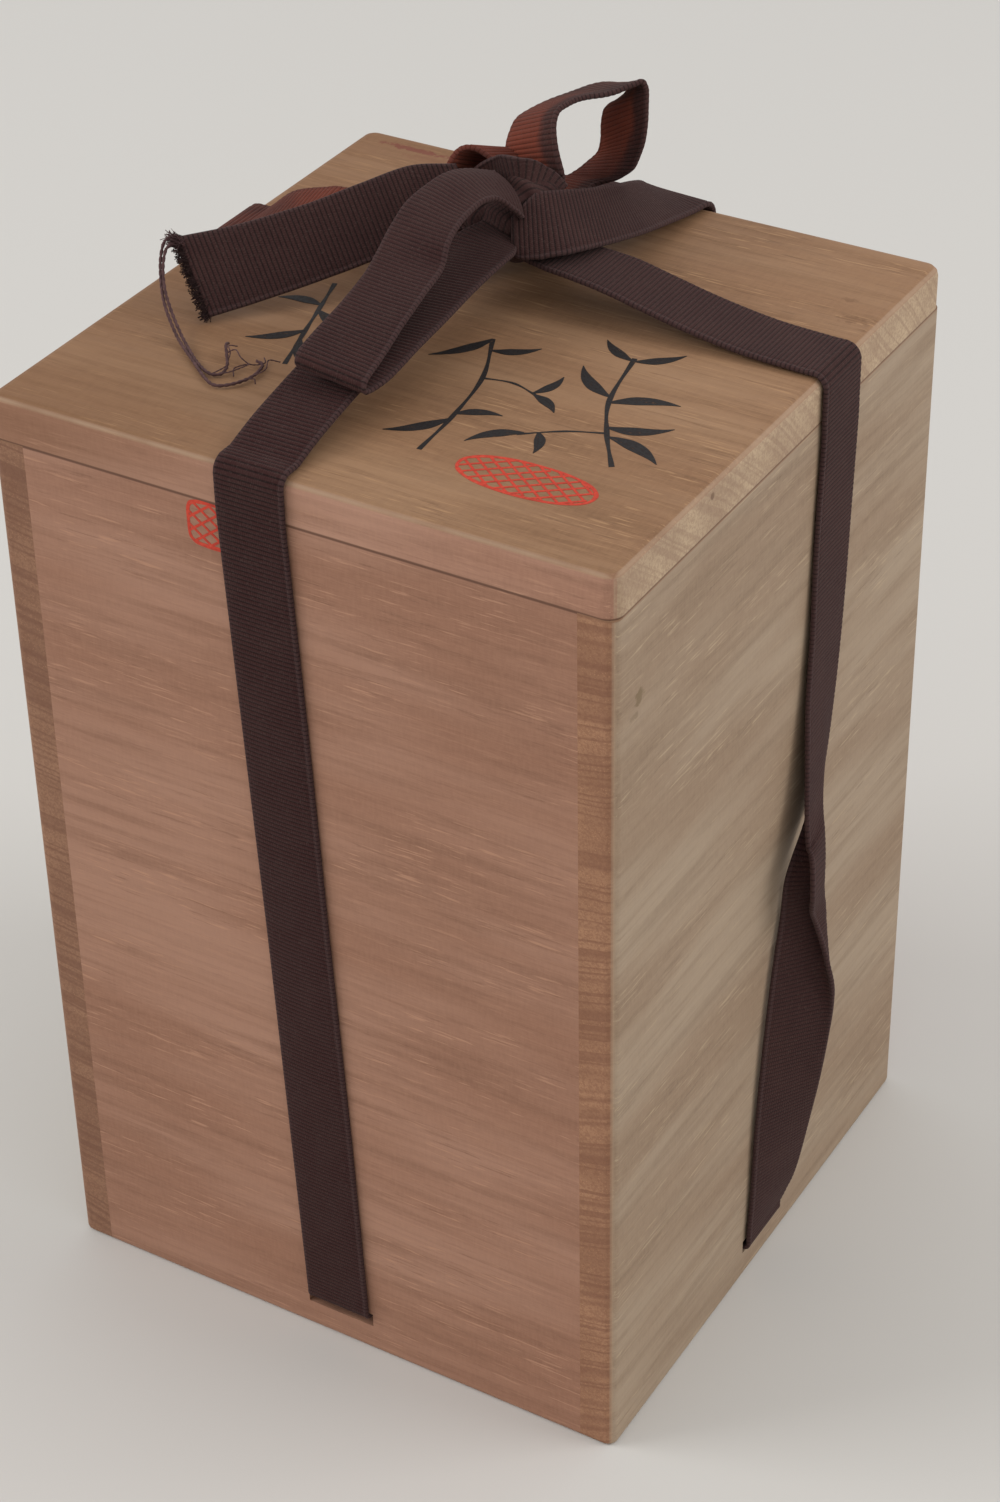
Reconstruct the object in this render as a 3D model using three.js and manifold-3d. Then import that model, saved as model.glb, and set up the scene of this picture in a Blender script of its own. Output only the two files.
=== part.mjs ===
// Storage box of paulownia wood for one treasured piece, tied with a flat woven cord.
// Millimetres, +Z up, origin at the centre of the base, front face towards -Y.
import * as THREE from 'three';
import { mergeVertices } from 'three/addons/utils/BufferGeometryUtils.js';
import Module from 'manifold-3d';

const wasm = await Module();
wasm.setup();

// Box
const boxWidth = 132;
const boxDepth = 132;
const caseHeight = 198.3;
const lidThickness = 9;
const boardThickness = 7.5;
const cornerRadius = 1.2;
const baseEasing = 1;
const lidEasing = 1.8;

// Floor board, let into grooves above the base
const floorLift = 10.2;
const floorThickness = 6;
const grooveDepth = 3;
const shrinkageRoom = 0.5;
const grooveSlack = 0.3;

// Battens under the lid
const battenWidth = 10;
const battenHeight = 9;
const battenClearance = 0.5;
const battenEasing = 1.2;

// Flat woven cord
const cordWidth = 14.8;
const cordThickness = 1.2;
const cordGap = 0.3;
const slotSideRoom = 0.5;
const slotTopRoom = 0.3;
const slotBottomRoom = 0.3;
const bendRadius = 1.6;

// Where the cord leaves each slot and crosses each lid edge, along the face from its middle
const endSlotDrift = 1.2;
const sideSlotDrift = -0.9;
const frontDrift = -7.4;
const rightDrift = 19.1;
const backDrift = -9;
const leftDrift = 15;

// Knot on the lid, and the grid that the bow is laid out on
const knotX = -7;
const knotY = 19;
const bowGrid = 10;

// Loose yarns at the frayed end
const yarnDiameter = 0.7;

// How far a cut runs past what it cuts
const overrun = 2;

const halfWidth = boxWidth / 2;
const halfDepth = boxDepth / 2;
const innerHalfWidth = halfWidth - boardThickness;
const innerHalfDepth = halfDepth - boardThickness;
const lidTop = caseHeight + lidThickness;
const cordRest = cordGap + cordThickness / 2;
const slotTop = floorLift - slotTopRoom;
const upperCordHeight = slotTop - cordRest;
const lowerCordHeight = upperCordHeight - cordThickness - cordGap;
const slotSill = lowerCordHeight - cordThickness / 2 - slotBottomRoom;
const slotWidth = cordWidth + 2 * slotSideRoom;

const finishes = {
  board: { color: 0xc9a27e, roughness: 0.75, metalness: 0 },
  floor: { color: 0xbf9b76, roughness: 0.8, metalness: 0 },
  lid: { color: 0xcba678, roughness: 0.72, metalness: 0 },
  batten: { color: 0xc3a077, roughness: 0.78, metalness: 0 },
  cord: { color: 0x4a3934, roughness: 0.9, metalness: 0 },
  fadedCord: { color: 0x8a4528, roughness: 0.9, metalness: 0 },
  yarn: { color: 0x5a4640, roughness: 0.95, metalness: 0 },
};

function toSolid(geometry) {
  const bare = geometry.index ? geometry.clone() : mergeVertices(geometry);
  bare.deleteAttribute('normal');
  bare.deleteAttribute('uv');
  const merged = mergeVertices(bare);
  return new wasm.Manifold(new wasm.Mesh({
    numProp: 3,
    vertProperties: new Float32Array(merged.attributes.position.array),
    triVerts: new Uint32Array(merged.index.array),
  }));
}

function toGeometry(solid) {
  const { vertProperties, triVerts, numProp } = solid.getMesh();
  const positions = new Float32Array(triVerts.length * 3);
  triVerts.forEach((vertex, corner) => {
    positions.set(vertProperties.subarray(vertex * numProp, vertex * numProp + 3), corner * 3);
  });
  const geometry = new THREE.BufferGeometry();
  geometry.setAttribute('position', new THREE.BufferAttribute(positions, 3));
  geometry.computeVertexNormals();
  return geometry;
}

function block(low, high) {
  const size = high.map((value, axis) => value - low[axis]);
  const geometry = new THREE.BoxGeometry(...size);
  geometry.translate(...low.map((value, axis) => value + size[axis] / 2));
  return toSolid(geometry);
}

function roundedOutline(width, depth, radius) {
  const x = width / 2;
  const y = depth / 2;
  const outline = new THREE.Shape();
  outline.moveTo(radius - x, -y);
  outline.lineTo(x - radius, -y);
  outline.absarc(x - radius, radius - y, radius, -Math.PI / 2, 0);
  outline.lineTo(x, y - radius);
  outline.absarc(x - radius, y - radius, radius, 0, Math.PI / 2);
  outline.lineTo(radius - x, y);
  outline.absarc(radius - x, y - radius, radius, Math.PI / 2, Math.PI);
  outline.lineTo(-x, radius - y);
  outline.absarc(radius - x, radius - y, radius, Math.PI, 1.5 * Math.PI);
  return outline;
}

// A block with upright corners rounded and its two ends eased all round
function easedBlock(width, depth, bottom, top, radius, easing) {
  const geometry = new THREE.ExtrudeGeometry(roundedOutline(width, depth, radius), {
    depth: top - bottom - 2 * easing,
    curveSegments: 4,
    bevelEnabled: true,
    bevelThickness: easing,
    bevelSize: easing,
    bevelOffset: -easing,
    bevelSegments: 3,
  });
  geometry.translate(0, 0, bottom + easing);
  return toSolid(geometry);
}

function mesh(name, geometry, finish) {
  const material = new THREE.MeshStandardMaterial(finish);
  const piece = new THREE.Mesh(geometry, material);
  piece.name = name;
  return piece;
}

// Case: the side boards run the full depth and show their end grain at the front and back

const caseEnvelope = easedBlock(
  boxWidth, boxDepth, 0, caseHeight + overrun + baseEasing, cornerRadius + baseEasing, baseEasing);

function slotAcross(alongX) {
  const reach = (alongX ? halfWidth : halfDepth) + overrun;
  const middle = alongX ? sideSlotDrift : endSlotDrift;
  const low = middle - slotWidth / 2;
  const high = middle + slotWidth / 2;
  return alongX
    ? block([-reach, low, slotSill], [reach, high, slotTop])
    : block([low, -reach, slotSill], [high, reach, slotTop]);
}

const slotCutter = slotAcross(true).add(slotAcross(false));
const grooveCutter = block(
  [-innerHalfWidth - grooveDepth, -innerHalfDepth - grooveDepth, floorLift],
  [innerHalfWidth + grooveDepth, innerHalfDepth + grooveDepth, floorLift + floorThickness + grooveSlack],
);

function sideBoard(name, side) {
  const outer = side * (halfWidth + overrun);
  const inner = side * innerHalfWidth;
  const reach = halfDepth + overrun;
  const raw = block(
    [Math.min(outer, inner), -reach, -overrun],
    [Math.max(outer, inner), reach, caseHeight],
  );
  const cut = raw.intersect(caseEnvelope).subtract(slotCutter).subtract(grooveCutter);
  return mesh(name, toGeometry(cut), finishes.board);
}

function endBoard(name, side) {
  const outer = side * (halfDepth + overrun);
  const inner = side * innerHalfDepth;
  const raw = block(
    [-innerHalfWidth, Math.min(outer, inner), -overrun],
    [innerHalfWidth, Math.max(outer, inner), caseHeight],
  );
  const cut = raw.intersect(caseEnvelope).subtract(slotCutter).subtract(grooveCutter);
  return mesh(name, toGeometry(cut), finishes.board);
}

function floorBoard() {
  const reachX = innerHalfWidth + grooveDepth - shrinkageRoom;
  const reachY = innerHalfDepth + grooveDepth - shrinkageRoom;
  const board = block([-reachX, -reachY, floorLift], [reachX, reachY, floorLift + floorThickness]);
  return mesh('floor_board', toGeometry(board), finishes.floor);
}

// Lid: one flush panel, held in place by four battens that drop inside the case

function lidPanel() {
  const full = easedBlock(
    boxWidth, boxDepth, caseHeight - lidEasing - overrun, lidTop, cornerRadius + lidEasing, lidEasing);
  const reach = halfWidth + halfDepth;
  const above = block([-reach, -reach, caseHeight], [reach, reach, lidTop + overrun]);
  return mesh('lid_panel', toGeometry(full.intersect(above)), finishes.lid);
}

// Section of a batten: u runs from its inner to its outer face, v up to the panel
function battenSection() {
  const section = new THREE.Shape();
  section.moveTo(battenEasing, 0);
  section.lineTo(battenWidth - battenEasing, 0);
  section.lineTo(battenWidth, battenEasing);
  section.lineTo(battenWidth, battenHeight);
  section.lineTo(0, battenHeight);
  section.lineTo(0, battenEasing);
  section.closePath();
  return section;
}

function batten(name, length, reach, turn) {
  const geometry = new THREE.ExtrudeGeometry(battenSection(), { depth: length, bevelEnabled: false });
  geometry.translate(reach - battenWidth, 0, -length / 2);
  geometry.rotateX(Math.PI / 2);
  geometry.rotateZ(turn);
  geometry.translate(0, 0, caseHeight - battenHeight);
  return mesh(name, geometry, finishes.batten);
}

const battenReachX = innerHalfWidth - battenClearance;
const battenReachY = innerHalfDepth - battenClearance;
const longBatten = 2 * battenReachX;
const shortBatten = 2 * (battenReachY - battenWidth);

// Cord: a flat strip carried along stations of a centre and a width direction

function station(center, across, spread = 1) {
  return { center, across: across.clone().normalize(), spread };
}

function stripGeometry(stations, width = cordWidth, thickness = cordThickness) {
  const positions = [];
  stations.forEach(({ center, across, spread }, i) => {
    const before = stations[Math.max(i - 1, 0)].center;
    const after = stations[Math.min(i + 1, stations.length - 1)].center;
    const normal = after.clone().sub(before).cross(across).normalize();
    for (const [side, face] of [[-1, -1], [1, -1], [1, 1], [-1, 1]]) {
      const corner = center.clone();
      corner.addScaledVector(across, side * spread * width / 2);
      corner.addScaledVector(normal, face * thickness / 2);
      positions.push(corner.x, corner.y, corner.z);
    }
  });
  const faces = [];
  const last = (stations.length - 1) * 4;
  for (let ring = 0; ring < last; ring += 4) {
    for (let k = 0; k < 4; k += 1) {
      const next = (k + 1) % 4;
      faces.push(ring + k, ring + next, ring + 4 + next);
      faces.push(ring + k, ring + 4 + next, ring + 4 + k);
    }
  }
  faces.push(0, 2, 1, 0, 3, 2);
  faces.push(last, last + 1, last + 2, last, last + 2, last + 3);
  const geometry = new THREE.BufferGeometry();
  geometry.setAttribute('position', new THREE.Float32BufferAttribute(positions, 3));
  geometry.setIndex(faces);
  return geometry;
}

// Smooth stations through a table of places, with a few steps between each two rows
function smoothStations(rows, stepsPerRow) {
  const places = new THREE.CatmullRomCurve3(rows.map((row) => row.center), false, 'catmullrom', 0.5);
  const widths = new THREE.CatmullRomCurve3(rows.map((row) => row.across), false, 'catmullrom', 0.5);
  const spans = rows.length - 1;
  const stations = [];
  for (let i = 0; i <= spans * stepsPerRow; i += 1) {
    const t = i / (spans * stepsPerRow);
    const row = Math.min(Math.floor(t * spans), spans - 1);
    const share = t * spans - row;
    const spread = rows[row].spread * (1 - share) + rows[row + 1].spread * share;
    stations.push(station(places.getPoint(t), widths.getPoint(t), spread));
  }
  return stations;
}

// Each face of the case: the direction along it, the direction out of it and its distance out
const ends = { along: [1, 0], reach: halfDepth, slotHeight: upperCordHeight, slotDrift: endSlotDrift };
const sides = { along: [0, 1], reach: halfWidth, slotHeight: lowerCordHeight, slotDrift: sideSlotDrift };
const faces = {
  front: { ...ends, out: [0, -1], edge: frontDrift },
  back: { ...ends, out: [0, 1], edge: backDrift },
  left: { ...sides, out: [-1, 0], edge: leftDrift },
  right: { ...sides, out: [1, 0], edge: rightDrift },
};

function onFace(face, along, out, height) {
  const away = face.reach + out;
  return new THREE.Vector3(
    face.along[0] * along + face.out[0] * away,
    face.along[1] * along + face.out[1] * away,
    height,
  );
}

function acrossFace(face, turn) {
  return new THREE.Vector3(
    face.along[0] * Math.cos(turn) - face.out[0] * Math.sin(turn),
    face.along[1] * Math.cos(turn) - face.out[1] * Math.sin(turn),
    0,
  );
}

// The right strand turns over once on its way up. Rows: share of the height, place along the
// face in grid steps, share of a half turn and of the width.
const rightStrandShares = [
  [0, -0.09, 1, 1], [0.02, -0.07, 0.97, 1], [0.06, -0.03, 0.92, 1], [0.18, 0, 0.83, 1],
  [0.28, 0.16, 0.78, 1], [0.36, 0.36, 0.8, 0.84], [0.43, 0.51, 0.79, 0.64], [0.475, 0.55, 0.73, 0.5],
  [0.52, 1.05, 0.45, 0.36], [0.545, 1.13, 0.27, 0.62], [0.565, 1.21, 0.08, 0.85], [0.66, 1.46, 0.03, 1],
  [0.77, 1.68, 0.01, 1], [0.87, 1.8, 0, 1], [0.97, 1.91, 0, 1], [1, 1.91, 0, 1],
];
const plainTurnShares = [0, 0.25, 0.5, 0.75, 1];

function plainStrandShares(face) {
  const run = face.edge - face.slotDrift;
  return plainTurnShares.map((share) => [share, (face.slotDrift + run * share) / bowGrid, 0, 1]);
}

// From the slot, round its lip and up the face to the joint under the lid
function strandStations(face, strandShares) {
  const stations = [];
  const flat = acrossFace(face, strandShares[0][2] * Math.PI);
  stations.push(station(onFace(face, face.slotDrift, -boardThickness, face.slotHeight), flat));
  const bendSteps = 4;
  const lipTurn = cordRest - bendRadius;
  for (let i = 0; i <= bendSteps; i += 1) {
    const angle = (i / bendSteps) * Math.PI / 2;
    const out = lipTurn + bendRadius * Math.sin(angle);
    const height = face.slotHeight + bendRadius * (1 - Math.cos(angle));
    stations.push(station(onFace(face, face.slotDrift, out, height), flat));
  }
  const low = face.slotHeight + 2 * bendRadius;
  const high = caseHeight - cordGap / 2;
  const rows = strandShares.map(([heightShare, place, turnShare, spread]) => {
    const turn = turnShare * Math.PI;
    const out = cordRest + Math.sin(turn) * spread * cordWidth / 2;
    const height = low + (high - low) * heightShare;
    return { center: onFace(face, place * bowGrid, out, height), across: acrossFace(face, turn), spread };
  });
  return stations.concat(smoothStations(rows, 3));
}

// From the joint, over the eased edge of the lid and along it to the knot.
// Rows: share of the way to the knot, height in grid steps, lean and spread of the width.
const lidStrandShares = {
  front: [
    [0.09, 0.32, 0, 1], [0.19, 0.5, 0, 1], [0.28, 0.64, 0, 1], [0.36, 0.7, 0, 1], [0.5, 0.76, 0, 1],
    [0.72, 0.8, 0, 0.95], [0.88, 0.84, 0, 0.6], [0.97, 0.88, 0, 0.42],
  ],
  right: [
    [0.17, 0.15, 0, 1], [0.34, 0.32, 0, 1], [0.48, 0.52, 0, 1], [0.6, 0.7, 0, 1], [0.7, 0.78, 0, 0.95],
    [0.79, 0.8, 0, 0.85], [0.88, 0.8, 0, 0.6], [0.95, 0.84, 0, 0.42],
  ],
  back: [
    [0.26, 0.22, 0, 1], [0.5, 0.4, 0, 1], [0.72, 0.56, 0, 0.95], [0.86, 0.66, 0, 0.7], [0.97, 0.84, 0, 0.42],
  ],
  left: [
    [0.11, 0.4, 0.25, 1], [0.24, 0.62, 0.25, 1], [0.31, 0.71, 0.22, 1], [0.5, 0.74, 0.12, 1],
    [0.7, 0.74, 0.05, 0.95], [0.84, 0.76, 0, 0.7], [0.93, 0.84, 0, 0.38],
  ],
};

function lidStrandStations(face, rowShares) {
  const stations = [];
  const flat = acrossFace(face, 0);
  const edge = lidTop - lidEasing;
  const turnRadius = lidEasing + cordRest;
  stations.push(station(onFace(face, face.edge, cordRest, caseHeight + cordGap / 2), flat));
  const bendSteps = 5;
  for (let i = 0; i <= bendSteps; i += 1) {
    const angle = (i / bendSteps) * Math.PI / 2;
    const out = -lidEasing + turnRadius * Math.cos(angle);
    const height = edge + turnRadius * Math.sin(angle);
    stations.push(station(onFace(face, face.edge, out, height), flat));
  }
  const foot = new THREE.Vector3(knotX, knotY, lidTop);
  const start = onFace(face, face.edge, -lidEasing - turnRadius, lidTop + cordRest);
  const rows = rowShares.map(([way, rise, lean, spread]) => {
    const center = start.clone().lerp(foot, way);
    center.z = lidTop + rise * bowGrid;
    return { center, across: acrossFace(face, 0).setZ(lean), spread };
  });
  rows.unshift({ center: start, across: flat, spread: 1 });
  return stations.concat(smoothStations(rows, 4));
}

// Bow: rows of place and width direction in grid steps from the foot of the knot, then the spread
const loopFrontShares = [
  [0.03, 0.33, 1.56, 0.77, -0.3, -0.57, 0.75],
  [0.25, 0.15, 1.79, 0.78, -0.38, -0.5, 0.85],
  [0.45, -0.13, 2, 0.79, -0.43, -0.44, 0.9],
  [0.31, -0.38, 2.22, 0.82, -0.49, -0.3, 0.86],
  [0.1, -0.7, 2.34, 0.86, -0.45, -0.23, 0.84],
  [-0.03, -1.1, 2.38, 0.92, -0.35, -0.19, 0.86],
  [-0.11, -1.57, 2.31, 0.95, -0.27, -0.13, 0.9],
  [-0.13, -2.1, 2.2, 0.98, -0.18, -0.08, 0.93],
  [-0.08, -2.63, 2, 0.99, -0.12, 0, 0.96],
  [0.01, -3.1, 1.77, 0.98, 0.03, -0.12, 0.93],
  [0.1, -3.8, 1.59, 0.98, 0, -0.06, 0.9],
  [0.17, -4.73, 1.39, 0.98, 0, -0.08, 0.92],
  [0.2, -5.6, 1.19, 0.98, 0.05, -0.15, 0.98],
  [0.24, -6.14, 1.08, 0.98, 0.05, -0.16, 1],
  [0.27, -6.3, 0.96, 0.98, 0.05, -0.16, 1],
  [0.29, -6.19, 0.85, 0.98, 0.05, -0.16, 1],
  [0.38, -5.65, 0.87, 0.98, 0.08, -0.12, 1],
  [0.36, -4.7, 0.94, 0.98, 0.1, -0.04, 1],
  [0.32, -3.6, 1, 0.98, 0.1, 0, 1],
  [0.26, -2.5, 1.08, 0.98, 0.1, 0, 1],
  [0.27, -1.45, 1.15, 0.98, 0.1, 0, 0.97],
  [0.32, -0.85, 1.2, 0.96, -0.05, -0.1, 0.85],
  [0.3, -0.35, 1.2, 0.9, -0.2, -0.2, 0.6],
];
const loopUprightShares = [
  [0.22, 0.75, 1.35, 0.95, -0.22, 0.2, 0.45],
  [0.22, 1.26, 1.61, 0.95, -0.22, 0.22, 0.9],
  [0.17, 1.24, 1.82, 0.95, -0.22, 0.23, 1],
  [0.09, 1.25, 2.08, 0.91, -0.22, 0.36, 1],
  [0, 1.35, 2.34, 0.88, -0.23, 0.42, 1],
  [-0.05, 1.51, 2.54, 0.85, -0.28, 0.44, 1],
  [-0.06, 1.73, 2.7, 0.84, -0.33, 0.44, 1],
  [0.03, 2.01, 2.77, 0.8, -0.42, 0.42, 1],
  [0.18, 2.3, 2.83, 0.75, -0.53, 0.4, 1],
  [0.35, 2.54, 2.86, 0.72, -0.59, 0.37, 1],
  [0.53, 2.77, 2.88, 0.73, -0.6, 0.33, 1],
  [0.69, 2.98, 2.91, 0.72, -0.62, 0.31, 1],
  [0.85, 3.17, 2.94, 0.68, -0.65, 0.34, 1],
  [1.02, 3.33, 2.94, 0.62, -0.67, 0.41, 1],
  [1.16, 3.44, 2.92, 0.56, -0.68, 0.48, 1],
  [1.15, 3.36, 2.78, 0.67, -0.53, 0.52, 1],
  [1.08, 3.21, 2.65, 0.8, -0.31, 0.51, 1],
  [1.08, 3.13, 2.4, 0.82, -0.24, 0.52, 1],
  [1.09, 3.09, 2.08, 0.82, -0.23, 0.53, 1],
  [1.04, 3.05, 1.73, 0.85, -0.25, 0.46, 1],
  [0.9, 2.99, 1.46, 0.91, -0.17, 0.38, 1],
  [0.74, 2.89, 1.22, 0.96, -0.07, 0.29, 1],
  [0.49, 2.81, 1.05, 0.98, 0, 0.2, 0.88],
  [0.1, 2.62, 0.98, 0.99, 0, 0.05, 0.8],
  [0.2, 1.95, 0.92, 0.99, 0, 0, 0.85],
  [0.24, 1.2, 0.94, 0.99, 0, 0, 0.65],
  [0.25, 0.55, 1, 0.99, 0, 0, 0.5],
];
const tailLeftShares = [
  [-0.62, 0.03, 1.58, 0.58, -0.28, -0.77, 0.92],
  [-1.4, -0.4, 1.5, 0.58, -0.28, -0.77, 0.97],
  [-2.03, -1.29, 1.31, 0.58, -0.28, -0.77, 1],
  [-2.7, -2.09, 1.08, 0.58, -0.28, -0.77, 1],
  [-3.58, -3.12, 0.86, 0.58, -0.28, -0.77, 1.04],
  [-4.35, -4, 0.74, 0.58, -0.28, -0.77, 1.12],
];
const tailRightShares = [
  [0.64, -0.46, 1.26, 0.31, -0.64, -0.71, 0.42],
  [0.76, -0.5, 1.3, 0.4, -0.6, -0.7, 0.62],
  [1.02, -0.17, 1.42, 0.46, -0.66, -0.59, 0.96],
  [1.35, 0.25, 1.4, 0.58, -0.66, -0.48, 1],
  [1.6, 1.04, 1.23, 0.63, -0.67, -0.39, 0.99],
  [1.68, 2.15, 0.93, 0.73, -0.61, -0.31, 0.99],
  [1.55, 3.4, 0.54, 0.89, -0.41, -0.22, 0.99],
  [1.49, 4.15, 0.31, 0.97, -0.2, -0.15, 1],
  [1.51, 4.57, 0.18, 1, -0.01, -0.05, 1],
  [1.52, 4.79, -0.01, 1, -0.01, -0.04, 1],
  [1.53, 4.83, -0.38, 1, 0, -0.03, 1],
  [1.55, 4.83, -1.18, 1, 0, -0.03, 1],
  [1.58, 4.83, -1.98, 1, 0, -0.03, 1],
];
const knotWrapShares = [
  [0.85, 0.57, 1.52, -0.07, -0.96, -0.28, 0.8],
  [0.76, 0.5, 1.73, 0.07, -0.92, -0.39, 0.75],
  [0.64, 0.48, 1.85, 0.18, -0.84, -0.52, 0.65],
  [0.51, 0.41, 1.92, 0.2, -0.64, -0.74, 0.6],
  [0.34, 0.36, 1.94, 0.23, -0.37, -0.9, 0.61],
  [0.07, 0.4, 1.99, 0.44, -0.39, -0.81, 0.6],
  [-0.22, 0.52, 1.96, 0.2, -0.13, -0.97, 0.54],
  [-0.49, 0.78, 1.91, 0.27, 0.29, -0.92, 0.43],
];

function bowRows(shares) {
  return shares.map(([x, y, z, acrossX, acrossY, acrossZ, spread]) => ({
    center: new THREE.Vector3(knotX, knotY, lidTop).addScaledVector(new THREE.Vector3(x, y, z), bowGrid),
    across: new THREE.Vector3(acrossX, acrossY, acrossZ).normalize(),
    spread,
  }));
}

const bowSteps = 4;

function bowStrip(shares, margin = 0) {
  const stations = smoothStations(bowRows(shares), bowSteps);
  return toSolid(stripGeometry(stations, cordWidth + 2 * margin, cordThickness + 2 * margin));
}

// The folded inside of the knot: centre, then half sizes, in grid steps
const knotCoreShares = [
  [0.25, 0.25, 1.04, 0.86, 0.66, 0.64],
  [0.3, 0.6, 1.44, 0.68, 0.72, 0.62],
];

function knotCore(margin) {
  const lobes = knotCoreShares.map(([x, y, z, ...halfSizes]) => {
    const geometry = new THREE.SphereGeometry(1, 18, 12);
    geometry.scale(...halfSizes.map((share) => share * bowGrid + margin));
    geometry.translate(knotX + x * bowGrid, knotY + y * bowGrid, lidTop + z * bowGrid);
    return toSolid(geometry);
  });
  return lobes.reduce((core, lobe) => core.add(lobe));
}

const knotSolid = knotCore(0).add(bowStrip(knotWrapShares));
const knotCutter = knotCore(cordGap).add(bowStrip(knotWrapShares, cordGap));

// The right tail starts under the root of the front loop
const rightTail = bowStrip(tailRightShares).subtract(bowStrip(loopFrontShares, cordGap));

function clearOfKnot(name, solid, finish) {
  return mesh(name, toGeometry(solid.subtract(knotCutter)), finish);
}

// Cord under the floor, from slot to slot, one strip over the other
function underCord(name, face) {
  const reach = face.reach - boardThickness - cordGap;
  const across = acrossFace(face, 0);
  const stations = [-1, 1].map((side) => {
    const center = new THREE.Vector3(
      face.along[0] * face.slotDrift + face.out[0] * side * reach,
      face.along[1] * face.slotDrift + face.out[1] * side * reach,
      face.slotHeight,
    );
    return station(center, across);
  });
  return mesh(name, stripGeometry(stations), finishes.cord);
}

// Loose yarns hanging from the frayed end and lying on the lid, in grid steps from the knot's foot
const longYarnShares = [
  [-4.98, -3.98, 1.2], [-4.9, -4.2, 1], [-4.74, -4.46, 0.7], [-4.5, -4.72, 0.45], [-4.14, -5.02, 0.25],
  [-3.77, -5.3, 0.12], [-3.2, -5.71, 0.07], [-2.63, -6.15, 0.07], [-2.2, -6.22, 0.07],
  [-1.99, -5.93, 0.07], [-1.89, -5.57, 0.07],
];
const shortYarnShares = [
  [-4.72, -4.2, 1.02], [-4.55, -4.5, 0.75], [-4.22, -4.72, 0.5], [-3.9, -4.95, 0.28], [-3.5, -5.3, 0.12],
  [-2.95, -5.72, 0.07], [-2.5, -5.9, 0.07], [-2.28, -5.75, 0.07], [-2.2, -5.4, 0.07], [-2.25, -5, 0.16],
];

function yarn(name, shares) {
  const foot = new THREE.Vector3(knotX, knotY, lidTop);
  const points = shares.map((row) => foot.clone().addScaledVector(new THREE.Vector3(...row), bowGrid));
  const section = new THREE.Shape();
  section.absarc(0, 0, yarnDiameter / 2, 0, 2 * Math.PI);
  const geometry = new THREE.ExtrudeGeometry(section, {
    curveSegments: 4,
    steps: 30,
    extrudePath: new THREE.CatmullRomCurve3(points),
  });
  return mesh(name, toGeometry(toSolid(geometry)), finishes.yarn);
}

const group = new THREE.Group();

const casePieces = new THREE.Group();
casePieces.add(
  endBoard('front_board', -1),
  endBoard('back_board', 1),
  sideBoard('left_board', -1),
  sideBoard('right_board', 1),
  floorBoard(),
  underCord('under_cord_front_back', faces.front),
  underCord('under_cord_left_right', faces.right),
);
for (const [side, face] of Object.entries(faces)) {
  const strandShares = side === 'right' ? rightStrandShares : plainStrandShares(face);
  casePieces.add(mesh(`${side}_strand`, stripGeometry(strandStations(face, strandShares)), finishes.cord));
}

const lidPieces = new THREE.Group();
lidPieces.add(
  lidPanel(),
  batten('lid_batten_front', longBatten, battenReachY, -Math.PI / 2),
  batten('lid_batten_back', longBatten, battenReachY, Math.PI / 2),
  batten('lid_batten_left', shortBatten, battenReachX, Math.PI),
  batten('lid_batten_right', shortBatten, battenReachX, 0),
  mesh('knot', toGeometry(knotSolid), finishes.cord),
  clearOfKnot('loop_front', bowStrip(loopFrontShares), finishes.cord),
  clearOfKnot('loop_upright', bowStrip(loopUprightShares), finishes.fadedCord),
  clearOfKnot('tail_left', bowStrip(tailLeftShares), finishes.cord),
  clearOfKnot('tail_right', rightTail, finishes.cord),
  yarn('loose_yarn_long', longYarnShares),
  yarn('loose_yarn_short', shortYarnShares),
);
for (const [side, face] of Object.entries(faces)) {
  const solid = toSolid(stripGeometry(lidStrandStations(face, lidStrandShares[side])));
  lidPieces.add(clearOfKnot(`lid_strand_${side}`, solid, finishes.cord));
}

group.add(casePieces, lidPieces);

export default group;
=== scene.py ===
from math import pi

import bmesh
import bpy
import numpy as np
from bpy.props import FloatProperty, FloatVectorProperty, IntProperty, PointerProperty
from bpy.types import Operator, Panel, PropertyGroup
from mathutils import Matrix, Vector


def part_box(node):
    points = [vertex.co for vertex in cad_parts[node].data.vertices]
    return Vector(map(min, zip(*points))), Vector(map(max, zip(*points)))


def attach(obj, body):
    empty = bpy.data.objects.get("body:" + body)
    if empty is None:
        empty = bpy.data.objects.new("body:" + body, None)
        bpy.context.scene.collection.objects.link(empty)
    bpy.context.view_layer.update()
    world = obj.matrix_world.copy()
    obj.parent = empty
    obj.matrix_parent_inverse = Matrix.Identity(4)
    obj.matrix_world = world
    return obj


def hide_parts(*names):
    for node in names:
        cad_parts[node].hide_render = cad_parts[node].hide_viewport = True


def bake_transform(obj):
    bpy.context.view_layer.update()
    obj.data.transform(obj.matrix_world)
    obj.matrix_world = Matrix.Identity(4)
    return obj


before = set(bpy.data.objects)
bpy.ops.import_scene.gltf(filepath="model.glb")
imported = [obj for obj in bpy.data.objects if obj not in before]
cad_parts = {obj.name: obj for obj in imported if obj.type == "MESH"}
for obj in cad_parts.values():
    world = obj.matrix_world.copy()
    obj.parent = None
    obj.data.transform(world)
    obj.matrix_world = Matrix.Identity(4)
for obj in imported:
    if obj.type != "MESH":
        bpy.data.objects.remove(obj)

bl_info = {
    "name": "Tied wooden storage box",
    "version": (1, 0, 0),
    "blender": (4, 5, 0),
    "location": "3D View > Sidebar > Storage box",
    "description": "Dresses a paulownia storage box with bare wood, a flat woven cord and its bow",
    "category": "Object",
}


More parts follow.
